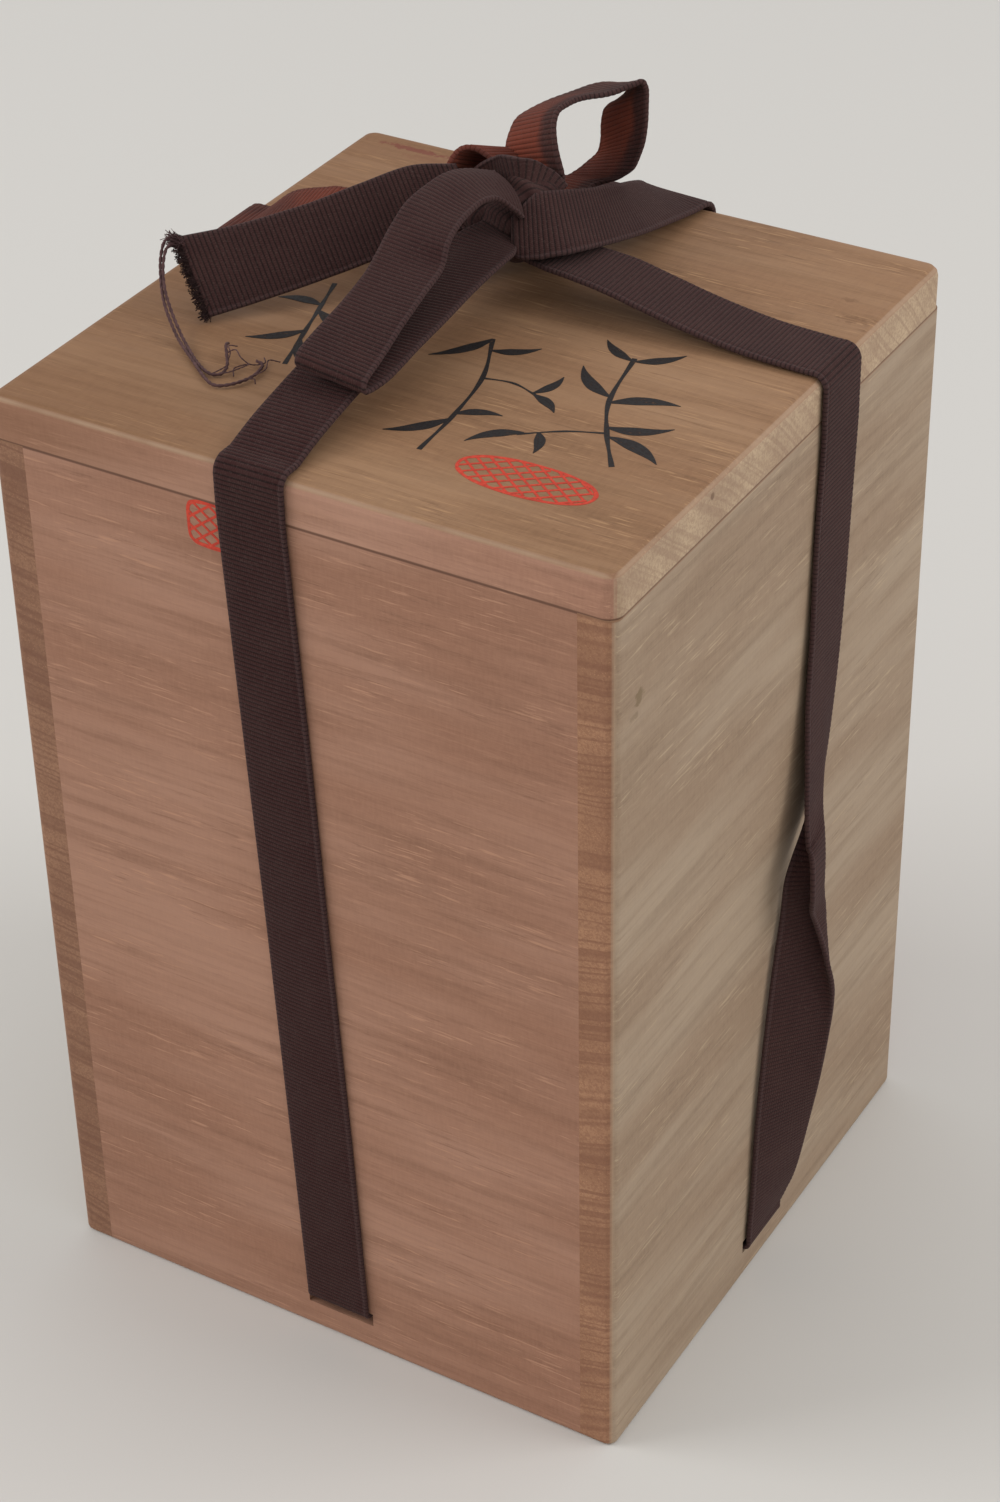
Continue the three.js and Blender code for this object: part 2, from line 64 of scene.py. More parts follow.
def tone(red, green, blue):
    """A display colour from 0 to 255 as the linear colour that a shader takes."""
    def linear(value):
        share = value / 255
        return share / 12.92 if share <= 0.04045 else ((share + 0.055) / 1.055) ** 2.4
    return linear(red), linear(green), linear(blue)


def tinted(base, *factors):
    return tuple(min(1, c * k) for c, k in zip(base, factors))


def colour(name, value, about):
    return FloatVectorProperty(name=name, description=about, subtype="COLOR", size=3,
                               min=0, max=1, default=value)


def length(name, value, about):
    return FloatProperty(name=name, description=about, unit="LENGTH", min=0, default=value,
                         precision=5)


def brightness(name, value, about, unit="POWER"):
    return FloatProperty(name=name, description=about, unit=unit, min=0, default=value)


# Box, in metres: the same values as the CAD part

LID_LOW, LID_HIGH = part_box("lid_panel")
HALF_BOX = LID_HIGH.x
JOINT_HEIGHT = LID_LOW.z
LID_TOP = LID_HIGH.z
BOARD_THICKNESS = 0.0075
LID_EASING = 0.0018
CORD_GAP = 0.0003
CORD_THICKNESS = 0.0012
CORD_REST = CORD_GAP + CORD_THICKNESS / 2
SLOT_TOP = 0.0099
UPPER_CORD_HEIGHT = SLOT_TOP - CORD_REST
LOWER_CORD_HEIGHT = UPPER_CORD_HEIGHT - CORD_THICKNESS - CORD_GAP
LIP_RADIUS = 0.0016
END_SLOT_DRIFT = 0.0012
SIDE_SLOT_DRIFT = -0.0009
KNOT = Vector((-0.007, 0.019, LID_TOP))
GRID = 0.01

# Camera, solved from the edges of the box in the photograph: lens and sensor in millimetres
LENS, SENSOR_WIDTH, FAR_CLIP = 79.76, 36, 30
CAMERA_PLACE = Vector((0.292169, -0.478861, 0.501812))
CAMERA_RIGHT = Vector((0.861786, 0.506998, -0.016690))
CAMERA_UP = Vector((-0.278915, 0.501064, 0.819232))
CAMERA_BACK = Vector((0.423712, -0.701347, 0.573219))


class CordSettings(PropertyGroup):
    width: length("Width", 0.0148, "Width of the flat cord")
    thickness: length("Thickness", 0.00115, "Thickness of the flat cord with its ribs")
    rib_pitch: length("Rib pitch", 0.00095, "Distance from one cross rib to the next")
    rib_height: length("Rib height", 0.00017, "How far a rib stands out of the cord")
    rounding: length("Edge rounding", 0.0005, "Radius to which the cord's edges and ends thin out")
    yarn: length("Yarn", 0.0007, "Diameter of a loose yarn of the frayed end")
    fibres: IntProperty(name="Fibres", description="Loose fibres along the frayed end", min=0,
                        default=900)
    brown: colour("Brown", tone(51, 32, 31), "Colour of the cord")
    # Painted warm light: orange where light from behind shines onto and through the cord
    warm_lit: colour("Warm-lit", tone(132, 61, 40), "Colour of the cord where light has faded it")
    lint: colour("Lint", tone(98, 84, 77), "Colour of the loose fluff on the cord")
    loose: colour("Loose yarns", tone(84, 62, 62), "Colour of the yarns at the cut end")
    selvage: colour("Selvage", tone(70, 54, 54), "Colour of the cord's woven edge")


class WoodSettings(PropertyGroup):
    # Beyond the wood's own tone, the differences between these colours are painted light: each
    # face's colour carries the shading that the light gives it, and the pink of the front boards
    # and the lid's edges is painted warm light from the left.
    front: colour("Front boards", tone(163, 121, 99), "Colour of the front and back boards")
    side: colour("Side boards", tone(158, 136, 114), "Colour of the two side boards")
    side_end: colour("Side boards' ends", tone(150, 112, 88), "Colour of the boards' end grain")
    lid: colour("Lid", tone(151, 115, 85), "Colour of the lid's top")
    lid_edge: colour("Lid's edge", tone(172, 129, 107), "Colour of the lid's front and back edges")
    lid_end: colour("Lid's ends", tone(181, 157, 130), "Colour of the lid's end grain")
    inner: colour("Inside", tone(172, 142, 113), "Colour of the floor board and the battens")
    # Pale line along the box's edges: wear, and partly a painted highlight where the rounded edges
    # catch the light
    wear_and_highlight: colour("Worn edges", tone(176, 147, 121), "Colour of edges that hands have rubbed")
    ring: length("Ring width", 0.0052, "Width of one year's growth")


class MarkSettings(PropertyGroup):
    ink: colour("Ink", tone(31, 26, 26), "Colour of the brushed bamboo sprigs")
    stamp: colour("Stamp", tone(190, 62, 44), "Colour of the two stamped lattices")
    film: length("Film", 0.00005, "Thickness of the dried ink")
    frame_line: length("Frame line", 0.0007, "Width of the line round a stamped lattice")
    lattice_line: length("Lattice line", 0.0005, "Width of the lines within a stamped lattice")
    lattice_pitch: length("Lattice pitch", 0.0037, "Distance from one lattice line to the next")


class StageSettings(PropertyGroup):
    floor: colour("Floor", tone(214, 211, 206), "Colour of the floor")
    sky: brightness("Sky", 0.7, "Strength of the even light from all sides", "NONE")
    left: brightness("Left lamp", 11, "Power of the soft lamp before the box on the left")
    right: brightness("Right lamp", 8.5, "Power of the soft lamp on the right")


def settings(name):
    return getattr(bpy.context.scene, "storage_box_" + name)


# Node trees

class Wire:
    """An output of a node. Arithmetic with it adds the node that does the sum."""

    def __init__(self, nodes, socket):
        self.nodes, self.socket = nodes, socket

    def joined(self, operation, *values):
        if self.socket.type != "VECTOR":
            return self.nodes.math(operation, *values)
        values = [(value,) * 3 if isinstance(value, (int, float)) else value for value in values]
        return self.nodes.add("ShaderNodeVectorMath", dict(enumerate(values)), operation=operation)

    def __add__(self, other):
        return self.joined("ADD", self, other)

    def __sub__(self, other):
        return self.joined("SUBTRACT", self, other)

    def __rsub__(self, other):
        return self.joined("SUBTRACT", other, self)

    def __mul__(self, other):
        return self.joined("MULTIPLY", self, other)

    def __truediv__(self, other):
        return self.joined("DIVIDE", self, other)

    def __abs__(self):
        return self.joined("ABSOLUTE", self)

    def clamped(self):
        self.socket.node.use_clamp = True
        return self

    def scaled(self, size):
        return self.nodes.add("ShaderNodeVectorMath", {0: self, "Scale": size}, operation="SCALE")

    def ramp(self, low, high, start=0, end=1, kind="SMOOTHSTEP"):
        """Runs from start to end as the value goes from low to high."""
        return self.nodes.add("ShaderNodeMapRange", {0: self, 1: low, 2: high, 3: start, 4: end},
                              interpolation_type=kind)


class Nodes:
    """One node tree, and short calls that add to it."""

    def __init__(self, tree):
        self.tree = tree

    def node(self, kind, values=None, **words):
        node = self.tree.nodes.new(kind)
        count = len(self.tree.nodes)
        node.location = (count % 10 * 190, -(count // 10) * 260)
        for word, value in words.items():
            setattr(node, word, value)
        self.fill(node.inputs, values or {})
        return node

    def fill(self, sockets, values):
        for key, value in values.items():
            if isinstance(value, Wire):
                self.tree.links.new(value.socket, sockets[key])
            elif hasattr(value, "__len__") and len(value) == 3 and sockets[key].type == "RGBA":
                sockets[key].default_value = (*value, 1)
            else:
                sockets[key].default_value = value

    def add(self, kind, values=None, output=0, **words):
        return Wire(self, self.node(kind, values, **words).outputs[output])

    def all(self, kind, values=None, **words):
        """A node's outputs by name."""
        sockets = self.node(kind, values, **words).outputs
        return {socket.name: Wire(self, socket) for socket in sockets}

    def math(self, operation, *values):
        return self.add("ShaderNodeMath", dict(enumerate(values)), operation=operation)

    def sine(self, value):
        return self.math("SINE", value)

    def mix(self, share, first, second):
        values = {0: share, 6: first, 7: second}
        return self.add("ShaderNodeMix", values, 2, data_type="RGBA", blend_type="MIX")

    def layered(self, shade, *layers):
        """Mixes each colour over those before it, by its share."""
        for share, layer in layers:
            shade = self.mix(share, shade, layer)
        return shade

    def noise(self, vector, scale, detail=2, roughness=0.5):
        values = {"Vector": vector, "Scale": scale, "Detail": detail, "Roughness": roughness}
        return self.add("ShaderNodeTexNoise", values, "Fac")

    def attribute(self, name):
        return self.add("ShaderNodeAttribute", None, "Fac", attribute_name=name)

    def place(self):
        return self.add("ShaderNodeTexCoord", None, "Object")

    def even(self, value):
        """The same number three times, as a vector."""
        return self.add("ShaderNodeCombineXYZ", {0: value, 1: value, 2: value})

    def group(self, name, values):
        return self.all("ShaderNodeGroup", values, node_tree=bpy.data.node_groups[name])

    def give(self, values):
        self.node("NodeGroupOutput", values)

    def give_shape(self, shape, finish):
        real = self.add("GeometryNodeRealizeInstances", {0: shape})
        self.give({0: self.add("GeometryNodeSetMaterial", {0: real, "Material": finish})})


FLOAT, VECTOR = "NodeSocketFloat", "NodeSocketVector"
SHAPE, MATERIAL = "NodeSocketGeometry", "NodeSocketMaterial"


def group_tree(name, inputs, outputs):
    """An empty group. An input is given as its socket type, or as a number with that default."""
    kind = "GeometryNodeTree" if SHAPE in inputs.values() else "ShaderNodeTree"
    tree = bpy.data.node_groups.new(name, kind)
    for label, value in inputs.items():
        if isinstance(value, str):
            tree.interface.new_socket(label, in_out="INPUT", socket_type=value)
        else:
            socket = tree.interface.new_socket(label, in_out="INPUT", socket_type=FLOAT)
            socket.default_value = value
    for label, value in outputs.items():
        tree.interface.new_socket(label, in_out="OUTPUT", socket_type=value)
    nodes = Nodes(tree)
    return nodes, nodes.all("NodeGroupInput")


def paulownia_grain():
    """Growth rings, streaks and pores of one board. The vector is in millimetres: along the
    grain, across the board, through it. The pith lies the given distances before zero."""
    names = ("Rings", "Streaks", "Pale Dashes", "Dark Dashes", "Fibres", "Bands", "Pores")
    nodes, into = group_tree(
        "Paulownia grain",
        {"Vector": VECTOR, "Pith Across": 150, "Pith Through": 40, "Ring Width": 5, "Wobble": 5},
        dict.fromkeys(names, FLOAT))
    place = into["Vector"]
    split = nodes.all("ShaderNodeSeparateXYZ", {0: place})
    across, through = split["Y"] + into["Pith Across"], split["Z"] + into["Pith Through"]
    drift = nodes.noise(place * (0.011, 0.03, 0.03), 1, 1)
    away = nodes.math("POWER", across * across + through * through, 0.5)
    away = away + (drift - 0.5) * into["Wobble"]
    seasons = nodes.add("ShaderNodeTexNoise", {"W": away * 0.06, "Detail": 1}, "Fac",
                        noise_dimensions="1D")
    season = nodes.math("FRACT", away / into["Ring Width"] + seasons * 3)
    patches = nodes.noise(place * (0.02, 0.09, 0.09), 1, 1).ramp(0.4, 0.62)
    pale = nodes.noise(place * (0.11, 1.7, 1.7), 1, 2, 0.6)
    dark = nodes.noise((place + (37, 91, 53)) * (0.09, 1.5, 1.5), 1, 2, 0.6)
    fibres = nodes.noise(place * (0.3, 5, 5), 1, 2, 0.6)
    rays = nodes.noise(place * (1.5, 0.35, 0.35), 1, 2, 0.6)
    vessels = nodes.add("ShaderNodeTexVoronoi", {"Vector": place * (0.12, 1, 1), "Scale": 2.1},
                        "Distance")
    nodes.give(dict(zip(names, (
        season.ramp(0.3, 0.93) * season.ramp(0.93, 1, 1, 0),
        nodes.noise(place * (0.02, 0.33, 0.33), 1, 3, 0.6),
        pale.ramp(0.57, 0.7) * patches.ramp(0, 1, 0.3),
        dark.ramp(0.58, 0.72) * patches.ramp(0, 1, 0.35),
        fibres * 0.6 + rays * 0.4,
        nodes.noise(place * (0.011, 0.05, 0.05), 1),
        vessels.ramp(0.12, 0.3, 1, 0) * season.ramp(0.15, 0.8, 1, 0.25)))))


def edge_wear_and_highlight():
    """Where two outer faces of the box meet, from object coordinates in metres. The pale line there
    is wear, and partly a painted highlight where the rounded edges catch the light.
    """
    nodes, into = group_tree(
        "Edge wear", {"Vector": VECTOR, "Half Box": 0.066, "Top": 0.2073, "Reach": 0.0012},
        {"Mask": FLOAT})
    split = nodes.all("ShaderNodeSeparateXYZ", {0: into["Vector"]})
    x, y = (into["Half Box"] - abs(split[axis]) for axis in "XY")
    z = into["Top"] - split["Z"]
    edges = [nodes.math("MAXIMUM", *pair) for pair in ((x, y), (x, z), (y, z))]
    nearest = nodes.math("MINIMUM", edges[0], nodes.math("MINIMUM", edges[1], edges[2]))
    uneven = nodes.noise(into["Vector"] * 90, 1)
    mask = (nearest / into["Reach"]).ramp(0.35, 1, 1, 0) * uneven.ramp(0.3, 0.6, 0.55)
    nodes.give({"Mask": mask})


def cord_weave():
    """Ribs, warp yarns, selvage and lint of the flat cord, from its own measures in metres."""
    nodes, into = group_tree(
        "Cord weave",
        {"Along": FLOAT, "Across": FLOAT, "Place": VECTOR, "Rib Pitch": 0.00095, "Ribs": 1},
        dict.fromkeys(("Valleys", "Selvage", "Yarns", "Mottle", "Lint"), FLOAT))
    rib = into["Along"] / into["Rib Pitch"]
    swell = abs(nodes.sine(rib * pi))
    odd = nodes.math("FLOOR", rib) * 0.5
    warp = nodes.sine((into["Across"] * 17 + odd) * (2 * pi))
    millimetres = into["Place"] * 1000
    nodes.give({
        "Valleys": swell.ramp(0, 0.62, 1, 0) * into["Ribs"],
        "Selvage": abs(into["Across"]).ramp(0.83, 0.93) * swell.ramp(0.1, 0.8, 0.4),
        "Yarns": warp * 0.25 + swell * 0.5,
        "Mottle": nodes.noise(millimetres, 0.11, 3, 0.6),
        "Lint": nodes.noise(millimetres, 2.6, 3, 0.7)})


def material(name, roughness, sheen=0.0, gloss=0.3):
    made = bpy.data.materials.new(name)
    made.use_nodes = True
    nodes = Nodes(made.node_tree)
    shader = made.node_tree.nodes["Principled BSDF"].inputs
    nodes.fill(shader, {"Roughness": roughness, "Specular IOR Level": gloss})
    if sheen:
        nodes.fill(shader, {"Sheen Weight": sheen, "Sheen Roughness": 0.6,
                            "Sheen Tint": (0.9, 0.72, 0.66)})
    return made, nodes, shader


def relief(nodes, shader, height, distance, strength=0.6):
    nodes.fill(shader, {"Normal": nodes.add("ShaderNodeBump", {
        "Height": height, "Distance": distance, "Strength": strength})})


def wood_material(name, cut, seam=None):
    """Bare planed paulownia. order gives the axes along the grain, across the board and through
    it. Offset and pith are in millimetres."""
    wood = settings("wood")
    made, nodes, shader = material(name, 0.7)
    texture = nodes.all("ShaderNodeTexCoord")
    spot = texture["Object"]
    split = nodes.all("ShaderNodeSeparateXYZ", {0: spot})
    facing = nodes.all("ShaderNodeSeparateXYZ", {0: texture["Normal"]})
    order = cut["order"]
    turned = nodes.add("ShaderNodeCombineXYZ", {i: split[axis] for i, axis in enumerate(order)})
    place = turned * 1000 + cut["offset"]
    grain = nodes.group("Paulownia grain", {
        "Vector": place, "Pith Across": cut["pith"][0], "Pith Through": cut["pith"][1],
        "Ring Width": wood.ring * 1000 * cut.get("ring", 1)})

    def figured(base):
        dark, pale = tinted(base, 0.6, 0.56, 0.53), tinted(base, 1.36, 1.4, 1.36)
        return nodes.layered(
            tinted(base, 0.88, 0.83, 0.8),
            (grain["Bands"].ramp(0.34, 0.66), tinted(base, 1.1, 1.14, 1.18)),
            (grain["Streaks"].ramp(0.45, 0.72, 0, cut["streaks"]), dark),
            (grain["Rings"] * cut["rings"], dark),
            (grain["Dark Dashes"] * (cut["dashes"] * 0.75), dark),
            (grain["Pale Dashes"] * cut["dashes"], pale),
            (grain["Fibres"].ramp(0.38, 0.62, 0, 0.2), pale))

    shade = figured(cut["side"])
    # The lid's edges take their own colour, chosen by which way each face looks: painted light, for
    # the shading between top and edges and the warm light on the front edge
    if "edge" in cut:
        shade = nodes.mix(abs(facing[order[2]]).ramp(0.45, 0.85), figured(cut["edge"]), shade)
    # Darker and browner towards the lid's left
    if "darker_left" in cut:
        darker_left = split["X"].ramp(-HALF_BOX, HALF_BOX * 0.4, cut["darker_left"], 0)
        shade = nodes.mix(darker_left, shade, tinted(cut["side"], 0.62, 0.52, 0.42))
    sawn, strength = cut["end"], cut["end_rings"]
    deep, light = tinted(sawn, 0.6, 0.5, 0.5), tinted(sawn, 1.34, 1.3, 1.24)
    ends = nodes.layered(
        tinted(sawn, 0.86, 0.82, 0.8),
        (grain["Bands"].ramp(0.35, 0.65), tinted(sawn, 1.1, 1.1, 1.08)),
        (nodes.noise(place * (0.1, 1.9, 1.9), 1, 2, 0.6).ramp(0.42, 0.6, 0, 0.42), deep),
        (grain["Rings"] * strength, deep),
        (grain["Pores"] * (strength * 1.1), light))
    shade = nodes.mix(abs(facing[order[0]]).ramp(0.6, 0.9), shade, ends)
    # Stains on the lid; on the right side board, painted shade in a small dent
    for middle, reach, patch_colour, strength in cut.get("stains_and_dent_shade", ()):
        far = nodes.add("ShaderNodeVectorMath", {0: (spot - middle) / reach}, "Value",
                        operation="LENGTH")
        far = far + nodes.noise(spot * 700, 1).ramp(0.3, 0.7, -0.35, 0.35)
        shade = nodes.mix(far.ramp(0.5, 1.1, strength, 0), shade, tone(*patch_colour))
    # Pale edges: wear, and partly a painted highlight where the rounded edges catch the light
    wear_and_highlight = nodes.group("Edge wear", {"Vector": spot, "Half Box": HALF_BOX, "Top": LID_TOP})
    shade = nodes.mix(wear_and_highlight["Mask"] * 0.75, shade, tuple(wood.wear_and_highlight))
    if seam:
        line = abs(split["Z"] - JOINT_HEIGHT).ramp(0.00012, 0.00042, 0.8, 0)
        shade = nodes.mix(line, shade, tone(*seam))
    nodes.fill(shader, {"Base Color": shade,
                        "Roughness": grain["Streaks"].ramp(0.3, 0.8, 0.62, 0.76)})
    height = grain["Dark Dashes"] * -0.7 + grain["Fibres"] * 0.5 + grain["Rings"] * 0.2
    relief(nodes, shader, height, 0.00006, 0.5)
    return made


def cord_material():
    cord = settings("cord")
    nodes, shader = material("woven_cord", 0.9, sheen=0.05, gloss=0.15)[1:]
    place, across, warmed = nodes.place(), nodes.attribute("across"), nodes.attribute("fade")
    weave = nodes.group("Cord weave", {
        "Along": nodes.attribute("along"), "Across": across, "Place": place,
        "Rib Pitch": cord.rib_pitch, "Ribs": nodes.attribute("ribs")})
    mottle, valleys = weave["Mottle"], weave["Valleys"]
    brown, warm_lit = tuple(cord.brown), tuple(cord.warm_lit)
    # Red patches: the cord's own mottle, raised on the front-facing pieces as painted warm light
    # from the left
    red_patches = nodes.noise(place, 230, 3, 0.6).ramp(0.36, 0.6, 0.6)
    # Share of painted warm light, orange where light from behind shines onto and through the cord,
    # kept off the edge that stays brown
    uneven = across + mottle.ramp(0.3, 0.7, -0.2, 0.2)
    kept = uneven.ramp(0.25, 0.7) * nodes.attribute("brown_side")
    fade = (warmed + mottle.ramp(0.2, 0.8, -0.16, 0.16)).clamped() * warmed.ramp(0, 0.1) * (1 - kept)
    shade = nodes.layered(
        tinted(brown, 0.9, 0.9, 0.92),
        (mottle.ramp(0.35, 0.7), tinted(brown, 1.2, 1.25, 1.2)),
        (red_patches * nodes.attribute("flush"), tinted(brown, 0.68, 0.34, 0.37)),
        (fade, warm_lit),
        (weave["Selvage"] * 0.6, nodes.mix(fade * 0.45, tuple(cord.selvage), warm_lit)))
    # Painted shade in the valleys between the ribs and a painted highlight on their crests, then
    # grey lint
    shade = nodes.layered(
        shade,
        (valleys * 0.9, nodes.mix(0.72, shade, (0.006, 0.004, 0.004))),
        (valleys.ramp(0, 0.16, 0.26, 0), tinted(brown, 2.7, 2.45, 2.35)),
        (weave["Lint"].ramp(0.5, 0.74, 0, 0.3), tuple(cord.lint)))
    nodes.fill(shader, {"Base Color": shade})
    relief(nodes, shader, weave["Yarns"] + weave["Lint"] * 0.5, 0.00016)


def yarn_material(name, base):
    nodes, shader = material(name, 0.9, sheen=0.08, gloss=0.15)[1:]
    place = nodes.place()
    nodes.fill(shader, {"Base Color": nodes.mix(
        nodes.noise(place, 900).ramp(0.3, 0.7), tinted(base, 0.75, 0.7, 0.72),
        tinted(base, 1.25, 1.2, 1.2))})
    relief(nodes, shader, nodes.noise(place, 2600), 0.0001)


def ink_material(name, base, worn, roughness):
    """Ink that lies thin where the brush or the stamp ran dry."""
    nodes, shader = material(name, roughness)[1:]
    bristles = nodes.add("ShaderNodeCombineXYZ", {
        0: nodes.attribute("along") * 90, 1: nodes.attribute("across") * 5,
        2: nodes.attribute("stroke")})
    thin = nodes.noise(bristles, 1, 2, 0.6) * 0.5 + nodes.noise(nodes.place(), 1400) * 0.5
    nodes.fill(shader, {
        "Base Color": nodes.layered(
            tinted(base, 0.8, 0.8, 0.8),
            (thin.ramp(0.35, 0.6), tinted(base, 1.25, 1.2, 1.2)),
            (thin.ramp(0.58, 0.7, 0, 0.6), worn)),
        "Roughness": thin.ramp(0.4, 0.65, roughness, 0.8)})
    relief(nodes, shader, thin, 0.00002, 0.4)


def woven_cord_tree():
    """Gives a flat strip its thickness, its cross ribs, woven edges and rounded ends."""
    nodes, into = group_tree("Woven cord", {
        "Geometry": SHAPE, "Width": 0.0148, "Thickness": 0.00115, "Rib Pitch": 0.00095,
        "Rib Height": 0.00017, "Rounding": 0.0005, "Material": MATERIAL}, {"Geometry": SHAPE})

    def named(name):
        return nodes.add("GeometryNodeInputNamedAttribute", {"Name": name}, "Attribute",
                         data_type="FLOAT")

    def rounded(distance):
        """From nothing at an edge to full thickness one radius in from it."""
        share = (1 - distance / into["Rounding"]).clamped()
        return nodes.math("SQRT", (1 - share * share).clamped())

    edge = abs(named("across"))
    profile = rounded((1 - edge) * (into["Width"] * 0.5)) * rounded(named("to_end"))
    count = named("along") / into["Rib Pitch"]
    rib = abs(nodes.sine(count * pi)) * edge.ramp(0.82, 0.86, 1, 0) * named("ribs")
    bead = (abs(nodes.sine(count * (pi * 0.75))) * 0.5 + 0.5) * edge.ramp(0.87, 0.92)
    body = into["Thickness"] * 0.5 - into["Rib Height"]
    height = (body + (rib + bead) * into["Rib Height"]) * profile
    normal = nodes.add("GeometryNodeInputNormal")
    upper, lower = (nodes.add("GeometryNodeSetPosition", {
        "Geometry": into["Geometry"], "Offset": normal.scaled(height * sign)}) for sign in (1, -1))
    join = nodes.node("GeometryNodeJoinGeometry")
    for side in (upper, nodes.add("GeometryNodeFlipFaces", {0: lower})):
        nodes.fill(join.inputs, {0: side})
    closed = nodes.add("GeometryNodeMergeByDistance", {
        0: Wire(nodes, join.outputs[0]), "Distance": 2e-6})
    nodes.give_shape(nodes.add("GeometryNodeSetShadeSmooth", {0: closed}), into["Material"])


def fringe_tree():
    """Bent fibres standing out of the points of an edge, along the stored direction."""
    nodes, into = group_tree("Fringe", {
        "Geometry": SHAPE, "Fibre Length": 0.003, "Fibre Radius": 0.0001, "Spread": 0.5,
        "Seed": "NodeSocketInt", "Material": MATERIAL}, {"Geometry": SHAPE})
    bow = nodes.add("GeometryNodeCurveQuadraticBezier", {
        "Resolution": 5, "Start": (0, 0, -0.3), "Middle": (0.05, 0, 0.55), "End": (0.4, 0.1, 1)})
    sized = nodes.add("GeometryNodeTransform", {
        "Geometry": bow, "Scale": nodes.even(into["Fibre Length"])})
    ring = nodes.add("GeometryNodeCurvePrimitiveCircle", {
        "Resolution": 4, "Radius": into["Fibre Radius"]})
    fibre = nodes.add("GeometryNodeCurveToMesh", {
        "Curve": sized, "Profile Curve": ring, "Fill Caps": True})

    def chance(low, high, shift, kind="FLOAT"):
        node = nodes.node("FunctionNodeRandomValue", data_type=kind)
        values = {"Min": low, "Max": high, "Seed": into["Seed"] + shift}
        for i, socket in enumerate(node.inputs):
            if socket.enabled and socket.name in values:
                nodes.fill(node.inputs, {i: values[socket.name]})
        return Wire(nodes, next(socket for socket in node.outputs if socket.enabled))

    outwards = nodes.add("GeometryNodeInputNamedAttribute", {"Name": "outwards"}, "Attribute",
                         data_type="FLOAT_VECTOR")
    stray = chance((-1, -1, -1), (1, 1, 1), 1, "FLOAT_VECTOR").scaled(into["Spread"])
    aligned = nodes.add("FunctionNodeAlignRotationToVector", {"Vector": outwards + stray}, axis="Z")
    spin = nodes.add("ShaderNodeCombineXYZ", {2: chance(0, 2 * pi, 2)})
    spun = nodes.add("FunctionNodeRotateRotation", {
        0: aligned, 1: nodes.add("FunctionNodeEulerToRotation", {0: spin})}, rotation_space="LOCAL")
    nodes.give_shape(nodes.add("GeometryNodeInstanceOnPoints", {
        "Points": into["Geometry"], "Instance": fibre, "Rotation": spun,
        "Scale": nodes.even(chance(0.35, 1.25, 3))}), into["Material"])


def baked(piece, tree, values):
    """Runs a tree on a piece, with its inputs set first."""
    modifier = piece.modifiers.new("shape", "NODES")
    modifier.node_group = bpy.data.node_groups[tree]
    for socket in modifier.node_group.interface.items_tree:
        if socket.in_out == "INPUT" and socket.name in values:
            modifier[socket.identifier] = values[socket.name]
    evaluated(piece, modifier)


def evaluated(piece, modifier):
    """Keeps what a modifier makes of a piece as the piece's own mesh."""
    graph = bpy.context.evaluated_depsgraph_get()
    shaped = bpy.data.meshes.new_from_object(
        piece.evaluated_get(graph), preserve_all_data_layers=True, depsgraph=graph)
    piece.modifiers.remove(modifier)
    piece.data = shaped
    shaped.name = piece.name


def new_piece(name, points, faces=()):
    mesh = bpy.data.meshes.new(name)
    mesh.from_pydata([tuple(point) for point in points], [], list(faces))
    piece = bpy.data.objects.new(name, mesh)
    bpy.context.scene.collection.objects.link(piece)
    return piece


def store(mesh, **fields):
    """Keeps numbers with each point of a mesh, for the node trees to read."""
    for name, values in fields.items():
        field = mesh.attributes.new(name, "FLOAT", "POINT")
        field.data.foreach_set("value", np.float32(values))


def turn_outwards(mesh):
    solid = bmesh.new()
    solid.from_mesh(mesh)
    bmesh.ops.recalc_face_normals(solid, faces=solid.faces)
    solid.to_mesh(mesh)
    solid.free()


# Flat cord. A station is a row of numbers: centre, width direction, share of the full width,
# lift of the two edges, painted warm light, strength of the ribs, the angle by which the cord is
# folded over lengthwise, and the share of the width at which it folds.

CENTRE, ACROSS = slice(0, 3), slice(3, 6)
SPREAD, LIFT_LOW, LIFT_HIGH, WARM_LIGHT, RIBS, CURL, FOLD_AT = range(6, 13)


def station(place, across, spread=1, fade=0, ribs=1, low=0, high=0, curl=0, fold_at=0.5):
    """One row, with the lift of the two edges in millimetres."""
    return (*place, *across, spread, low / 1000, high / 1000, fade, ribs, curl, fold_at)


def smooth_stations(rows, steps=14):
    """Stations on a smooth curve through the rows, as the CAD part's cord follows it. From the
    share of the width on, the columns run straight from row to row."""
    rows = np.asarray(rows, float)
    ends = np.vstack([2 * rows[0] - rows[1], rows, 2 * rows[-1] - rows[-2]])
    made = []
    for i in range(len(rows) - 1):
        a, b, c, d = ends[i:i + 4]
        for t in np.arange(steps) / steps:
            point = 0.5 * (2 * b + (c - a) * t + (2 * a - 5 * b + 4 * c - d) * t ** 2
                           + (3 * b - a - 3 * c + d) * t ** 3)
            point[SPREAD:] = b[SPREAD:] * (1 - t) + c[SPREAD:] * t
            made.append(point)
    made.append(rows[-1])
    return np.array(made)


def even_stations(stations, spacing):
    """The same stations at even steps along the cord, and each one's distance along it."""
    steps = np.linalg.norm(np.diff(stations[:, CENTRE], axis=0), axis=1)
    run = np.concatenate([[0], np.cumsum(steps)])
    along = np.linspace(0, run[-1], max(round(run[-1] / spacing), 6) + 1)
    return np.column_stack([np.interp(along, run, column) for column in stations.T]), along


def unit(vectors):
    return vectors / np.maximum(np.linalg.norm(vectors, axis=-1, keepdims=True), 1e-12)


def mirrored(shares):
    return np.array([-share for share in shares[:0:-1]] + list(shares))


